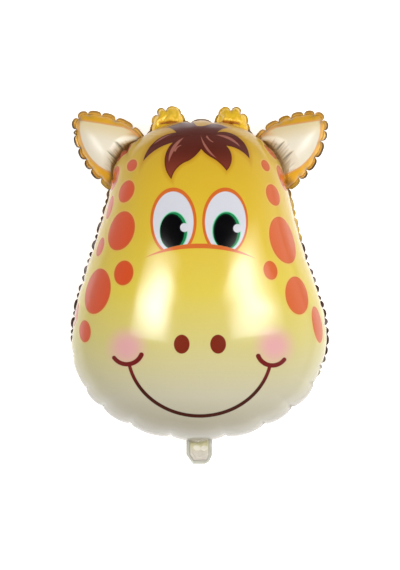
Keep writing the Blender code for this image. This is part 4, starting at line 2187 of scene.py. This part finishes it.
@dataclass(frozen=True)
class FillingValve:
    """The tail of clear film under the chin: a flat border round a creased pocket.

    It narrows below the corner's top: the cuts are how far each edge has come in at the end, and
    the right corner is rounded off by a power, where more is tighter. The slope leads from the
    border to the pocket.
    """

    left: float = -0.0246
    right: float = 0.0218
    top: float = -0.2700
    corner_top: float = -0.3050
    end: float = -0.3218
    left_cut: float = 0.0118
    right_cut: float = 0.0065
    right_corner: float = 0.0075
    corner_power: int = 7
    thick: float = 0.0008
    pocket: float = 0.0026
    border: float = 0.0040
    slope: float = 0.005
    wave: float = 0.0006
    wave_length: float = 0.0037
    steps: int = 90
    creases: tuple[Fold, ...] = (
        Fold(((-0.016, -0.300), (-0.008, -0.313)), 0.0016, 0.0030),
        Fold(((-0.010, -0.313), (0.016, -0.316)), 0.0018, 0.0028),
        Fold(((-0.004, -0.311), (0.017, -0.301)), 0.0016, 0.0032),
        Fold(((-0.018, -0.281), (-0.014, -0.302)), 0.0012, 0.0026),
    )
    crinkles: int = 14
    seed: int = 5

    def _folds(self) -> list[Fold]:
        """All creases and ridges of the pocket.

        Returns:
            The folds.
        """
        draw = np.random.default_rng(self.seed)
        folds = list(self.creases)
        for _ in range(self.crinkles):
            start = draw.uniform((-0.018, -0.312), (0.012, -0.284))
            end = start + draw.uniform((0.004, -0.007), (0.016, 0.007))
            depth, width = draw.uniform(-0.0018, 0.0018), draw.uniform(0.002, 0.004)
            folds.append(Fold((tuple(start), tuple(end)), depth, width))
        return folds

    def _layers(self) -> tuple[Array, Array]:
        """The two layers of film.

        Returns:
            Points of both layers, with rows across and columns along, and how far the pocket is
            open there, from 0 to 1.
        """
        steps = np.linspace(0, 1, self.steps + 1)
        u, v = np.meshgrid(steps, steps, indexing="ij")
        y = self.top + v * (self.end - self.top)
        low = np.clip((self.corner_top - y) / (self.corner_top - self.end), 0, 1)
        left = self.left + self.left_cut * low
        right = self.right - self.right_cut * low - self.right_corner * low**self.corner_power
        x = left + u * (right - left)
        from_edge = np.minimum(np.minimum(x - left, right - x), y - self.end)
        fill = eased((from_edge - self.border) / self.slope)
        crease = sum(fold.sink(np.stack([x, y], axis=-1)) for fold in self._folds())
        sealed = np.clip(1 - from_edge / self.border, 0, 1)
        wave = WELD_HEIGHT + self.wave * np.sin(y / self.wave_length) * sealed
        bulge = self.thick / 2 + (self.pocket + crease) * fill
        return np.stack([np.stack([x, y, wave + side * bulge], axis=-1) for side in (1, -1)]), fill

    def build(self) -> bpy.types.Object:
        """Make the valve's mesh object.

        Returns:
            The object.
        """
        layers, fill = self._layers()
        grid = np.arange(fill.size).reshape(fill.shape)
        ring = [grid[:-1, :-1], grid[:-1, 1:], grid[1:, 1:], grid[1:, :-1]]
        face = np.stack(ring, axis=-1).reshape(-1, 4)
        edge = np.concatenate([grid[:-1, 0], grid[-1, :-1], grid[:0:-1, -1], grid[0, :0:-1]])
        after = np.roll(edge, -1)
        wall = np.stack([edge, after, after + fill.size, edge + fill.size], axis=-1)
        faces = np.concatenate([face[:, ::-1], face + fill.size, wall])
        mesh = new_mesh("filling_valve_film", layers.reshape(-1, 3), faces)
        pocket = np.concatenate([layers[0, ..., :2], fill[..., None]], axis=-1).reshape(-1, 3)
        store_vectors(mesh, "pocket", np.concatenate([pocket, pocket]))
        return new_object("filling_valve_film", mesh)


# The studio


@dataclass(frozen=True)
class Softbox:
    """A soft studio light that fades towards its sides.

    Attributes:
        name: Name of the light.
        place: Middle of its front.
        aim: Point that it faces.
        wide: Its width.
        tall: Its height.
        power: Its power in watts, if it were as bright all over as at its brightest.
        turn: How far it is turned about its own axis, in degrees against the clock.
        track: Places up its front, from 0 to 1, and the middle and half the width of its bright
            part there, as shares of its own width.
        sides: Places across its bright part, from 0 to 1, and brightness there.
        fade: Places up its front, from 0 to 1, and brightness there.
        mirrored: Whether the film shows it as a reflection.
    """

    name: str
    place: tuple[float, float, float]
    aim: tuple[float, float, float]
    wide: float
    tall: float
    power: float
    turn: float = 0.0
    track: tuple[tuple[float, float, float], ...] = ((0.0, 0.5, 0.5), (1.0, 0.5, 0.5))
    sides: tuple[Point, ...] = ((0.0, 1.0), (1.0, 1.0))
    fade: tuple[Point, ...] = ((0.0, 1.0), (1.0, 1.0))
    mirrored: bool = True

    def light(self) -> None:
        """Hang the light."""
        data = bpy.data.lights.new(self.name, "AREA")
        data.shape = "RECTANGLE"
        data.size = self.wide
        data.size_y = self.tall
        data.energy = self.power
        data.use_nodes = True
        self._grade(data.node_tree)
        lamp = new_object(self.name, data)
        lamp.location = self.place
        away = (Vector(self.place) - Vector(self.aim)).normalized()
        across = Vector((0, 1, 0)).cross(away).normalized()
        stance = Matrix((across, away.cross(across), away)).transposed().to_quaternion()
        spin = Quaternion((0, 0, 1), math.radians(self.turn))
        lamp.rotation_euler = (stance @ spin).to_euler()
        lamp.visible_glossy = self.mirrored

    def _grade(self, tree: bpy.types.NodeTree) -> None:
        """Make its front bright along the track only.

        Args:
            tree: The lamp's nodes.
        """
        sketch = Sketch(tree)
        across, up, _ = sketch.parts(sketch.add("NewGeometry").outputs["Parametric"])
        track = [(height, (middle, half, 0.0)) for height, middle, half in self.track]
        middle, half, _ = sketch.parts(sketch.ramp(up, track))
        aside = sketch.math("DIVIDE", sketch.less(across, middle), half)
        aside = sketch.math("MULTIPLY_ADD", aside, 0.5, 0.5)
        share = sketch.times(sketch.levels(aside, self.sides), sketch.levels(up, self.fade))
        sketch.feed_all(tree.nodes["Emission"], Strength=share)


LEFT_TRACK = (
    (0.08, 0.562, 0.425), (0.20, 0.556, 0.403), (0.30, 0.536, 0.403), (0.40, 0.519, 0.393),
    (0.46, 0.502, 0.390), (0.50, 0.480, 0.392), (0.53, 0.462, 0.385), (0.57, 0.445, 0.388),
    (0.62, 0.428, 0.406), (0.68, 0.415, 0.432), (0.76, 0.470, 0.430), (0.83, 0.530, 0.420),
    (1.0, 0.560, 0.400),
)
LEFT_SIDES = (
    (0.0, 0.0), (0.02, 0.10), (0.145, 0.42), (0.305, 0.67), (0.46, 0.90), (0.585, 1.0),
    (0.70, 0.94), (0.80, 0.75), (0.89, 0.34), (0.965, 0.10), (1.0, 0.0),
)
LEFT_FADE = (
    (0.0, 0.28), (0.21, 0.43), (0.27, 0.55), (0.39, 0.82), (0.44, 0.96), (0.49, 1.0),
    (0.555, 1.0), (0.57, 0.86), (0.583, 0.63), (0.60, 0.46), (0.62, 0.38), (0.67, 0.28),
    (0.72, 0.21), (0.80, 0.16), (0.92, 0.13), (1.0, 0.09),
)
RIGHT_TRACK = (
    (0.0, 0.392, 0.504), (0.13, 0.410, 0.508), (0.24, 0.430, 0.508), (0.32, 0.452, 0.504),
    (0.36, 0.468, 0.500), (0.40, 0.487, 0.490), (0.44, 0.510, 0.464), (0.48, 0.533, 0.441),
    (0.52, 0.552, 0.445), (0.56, 0.564, 0.455), (0.60, 0.586, 0.490), (0.64, 0.604, 0.526),
    (0.68, 0.621, 0.567), (0.79, 0.640, 0.630), (1.0, 0.660, 0.720),
)
RIGHT_SIDES = (
    (0.0, 0.0), (0.04, 0.06), (0.083, 0.22), (0.136, 0.52), (0.204, 0.70), (0.26, 0.86),
    (0.35, 0.95), (0.42, 1.0), (0.53, 0.86), (0.645, 0.62), (0.77, 0.28), (0.905, 0.12),
    (1.0, 0.0),
)
RIGHT_FADE = (
    (0.0, 0.42), (0.15, 0.50), (0.27, 0.58), (0.38, 0.68), (0.44, 0.90), (0.49, 1.0),
    (0.53, 1.0), (0.56, 0.74), (0.60, 0.50), (0.66, 0.31), (0.78, 0.14), (1.0, 0.0),
)


@dataclass(frozen=True)
class Studio:
    """Floor, sky, lights and camera.

    Attributes:
        sensor: Width of the camera's sensor in millimetres.
        floor_size: Width of the floor.
        floor_glow: Light that the floor gives off of itself, as a light table does.
        floor_round: Distances from the middle between which the floor gets darker.
        floor_beyond: Heights beyond the crown, out of the picture, between which it gets dark.
        floor_wedge: Steepness of the sides of that dark part, where it starts and where it ends.
        sky: Brightness of the white room near the floor.
        sky_stops: Height on the sky, from the horizon to the camera, and brightness there.
        sky_ends: Brightness beyond the crown and the chin, as a share of that at the sides.
        sky_lean: How much brighter the sky is on the right.
        boxes: The softboxes.
    """

    sensor: float = 36.0
    floor_size: float = 12.0
    floor_glow: float = 0.72
    floor_round: Point = (0.68, 1.20)
    floor_beyond: Point = (0.58, 0.80)
    floor_wedge: Point = (0.4, 1.1)
    sky: float = 1.0
    sky_stops: tuple[Point, ...] = (
        (0.0, 0.90), (0.30, 0.60), (0.55, 0.30), (0.80, 0.12), (0.93, 0.06), (1.0, 0.04)
    )
    sky_ends: float = 0.25
    sky_lean: float = 0.3
    boxes: tuple[Softbox, ...] = (
        Softbox(
            "left_softbox", (-0.875, 0.175, 2.2), (0, 0, 0.25), wide=1.41, tall=0.85, power=60.0,
            turn=-14, track=LEFT_TRACK, sides=LEFT_SIDES, fade=LEFT_FADE,
        ),
        Softbox(
            "right_softbox", (1.275, 0.30, 2.2), (0, 0, 0.25), wide=2.05, tall=1.10, power=92.0,
            turn=7, track=RIGHT_TRACK, sides=RIGHT_SIDES, fade=RIGHT_FADE,
        ),
        Softbox("fill_light", (0.5, 0.0, 2.9), (0, 0, 0.1), 1.6, 1.6, 22.0, mirrored=False),
    )

    def build(self) -> None:
        """Set everything up."""
        scene = bpy.context.scene
        scene.view_settings.view_transform = "Standard"
        scene.camera = self._camera()
        scene.world = self._sky()
        self._floor()
        for box in self.boxes:
            box.light()

    def _camera(self) -> bpy.types.Object:
        """The camera, straight over the face.

        Returns:
            The object.
        """
        data = bpy.data.cameras.new("camera")
        data.sensor_width = self.sensor
        data.lens = self.sensor * VIEW.distance / VIEW.frame_height
        camera = new_object("camera", data)
        camera.location = (0, 0, WELD_HEIGHT + VIEW.distance)
        return camera

    def _sky(self) -> bpy.types.World:
        """A white room, dark behind the camera.

        Returns:
            The world.
        """
        world = bpy.data.worlds.new("room")
        world.use_nodes = True
        sketch = Sketch(world.node_tree)
        across, along, height = sketch.parts(sketch.add("TexCoord").outputs["Generated"])
        broad = sketch.times(across, across)
        deep = sketch.math("MULTIPLY_ADD", along, along, 0.02)
        side = sketch.math("DIVIDE", broad, sketch.math("ADD", broad, deep))
        lean = sketch.math("MULTIPLY_ADD", across, self.sky_lean, 1.0)
        strength = sketch.times(sketch.blend(side, self.sky_ends, 1.0), lean, self.sky)
        background = world.node_tree.nodes["Background"]
        sketch.feed_all(
            background, Color=sketch.levels(height, self.sky_stops), Strength=strength
        )
        return world

    def _floor(self) -> None:
        """Lay the plain white floor."""
        half = self.floor_size / 2
        ends = np.array([(-half, -half, 0), (half, -half, 0), (half, half, 0), (-half, half, 0)])
        floor = new_object("floor", new_mesh("floor", ends, np.array([[0, 1, 2, 3]])))
        material = bpy.data.materials.new("floor")
        material.use_nodes = True
        sketch = Sketch(material.node_tree)
        place = sketch.add("TexCoord").outputs["Object"]
        across, up, _ = sketch.parts(place)
        left = sketch.between(sketch.vector("LENGTH", place), *self.floor_round, 1.0, 0.62)
        above = sketch.math("MAXIMUM", up, MM)
        aside = sketch.math("DIVIDE", sketch.math("ABSOLUTE", across), above)
        wedge = sketch.between(aside, *self.floor_wedge, 1.0, 0.0)
        beyond = sketch.times(sketch.between(up, *self.floor_beyond), wedge)
        left = sketch.times(left, sketch.blend(beyond, 1.0, 0.1))
        sketch.feed_all(
            material.node_tree.nodes["Principled BSDF"],
            Base_Color=sketch.mix(left, (0.2, 0.2, 0.2), (0.75, 0.75, 0.75)),
            Roughness=0.9,
            Emission_Color=sketch.mix(left, (0.0, 0.0, 0.0), (1.0, 1.0, 1.0)),
            Emission_Strength=self.floor_glow,
        )
        floor.data.materials.append(material)


def dress(thing: bpy.types.Object, finish: FilmFinish, node: str) -> None:
    """Give a piece its finish, hang it on the root body and hide the CAD node that it replaces.

    Args:
        thing: The piece.
        finish: Its finish.
        node: The CAD node that it replaces.
    """
    thing.data.materials.append(finish.material)
    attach(thing, "root")
    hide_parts(node)
    log.info("%s: %d faces", thing.name, len(thing.data.polygons))


def corners(box: tuple[Vector, Vector]) -> list[list[float]]:
    """A box as plain lists."""
    return [list(corner) for corner in box]


def main() -> None:
    """Build the balloon and the studio."""
    logging.basicConfig(level=logging.INFO, format="%(name)s: %(message)s")
    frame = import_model()
    log.info("CAD nodes to dress: %d", len(frame["nodes"]))
    effects = Effects()
    gold, lobe_rim = GoldFinish(effects), LobeRimFinish(effects)
    lobes = [(HeadLobe(), HeadFinish(effects), HeadRimFinish(effects))]
    for side in Side:
        lobes.append((EarLobe(side), EarFinish(side, effects), lobe_rim))
        lobes.append((HornLobe(side), gold, lobe_rim))
    for lobe, finish, rim_finish in lobes:
        bag, rim = lobe.bag().build()
        dress(bag, finish, "balloon_body")
        dress(rim, rim_finish, "balloon_body")
    dress(FillingValve().build(), ClearFinish(effects), "filling_valve")
    Studio().build()


if __name__ == "__main__":
    main()
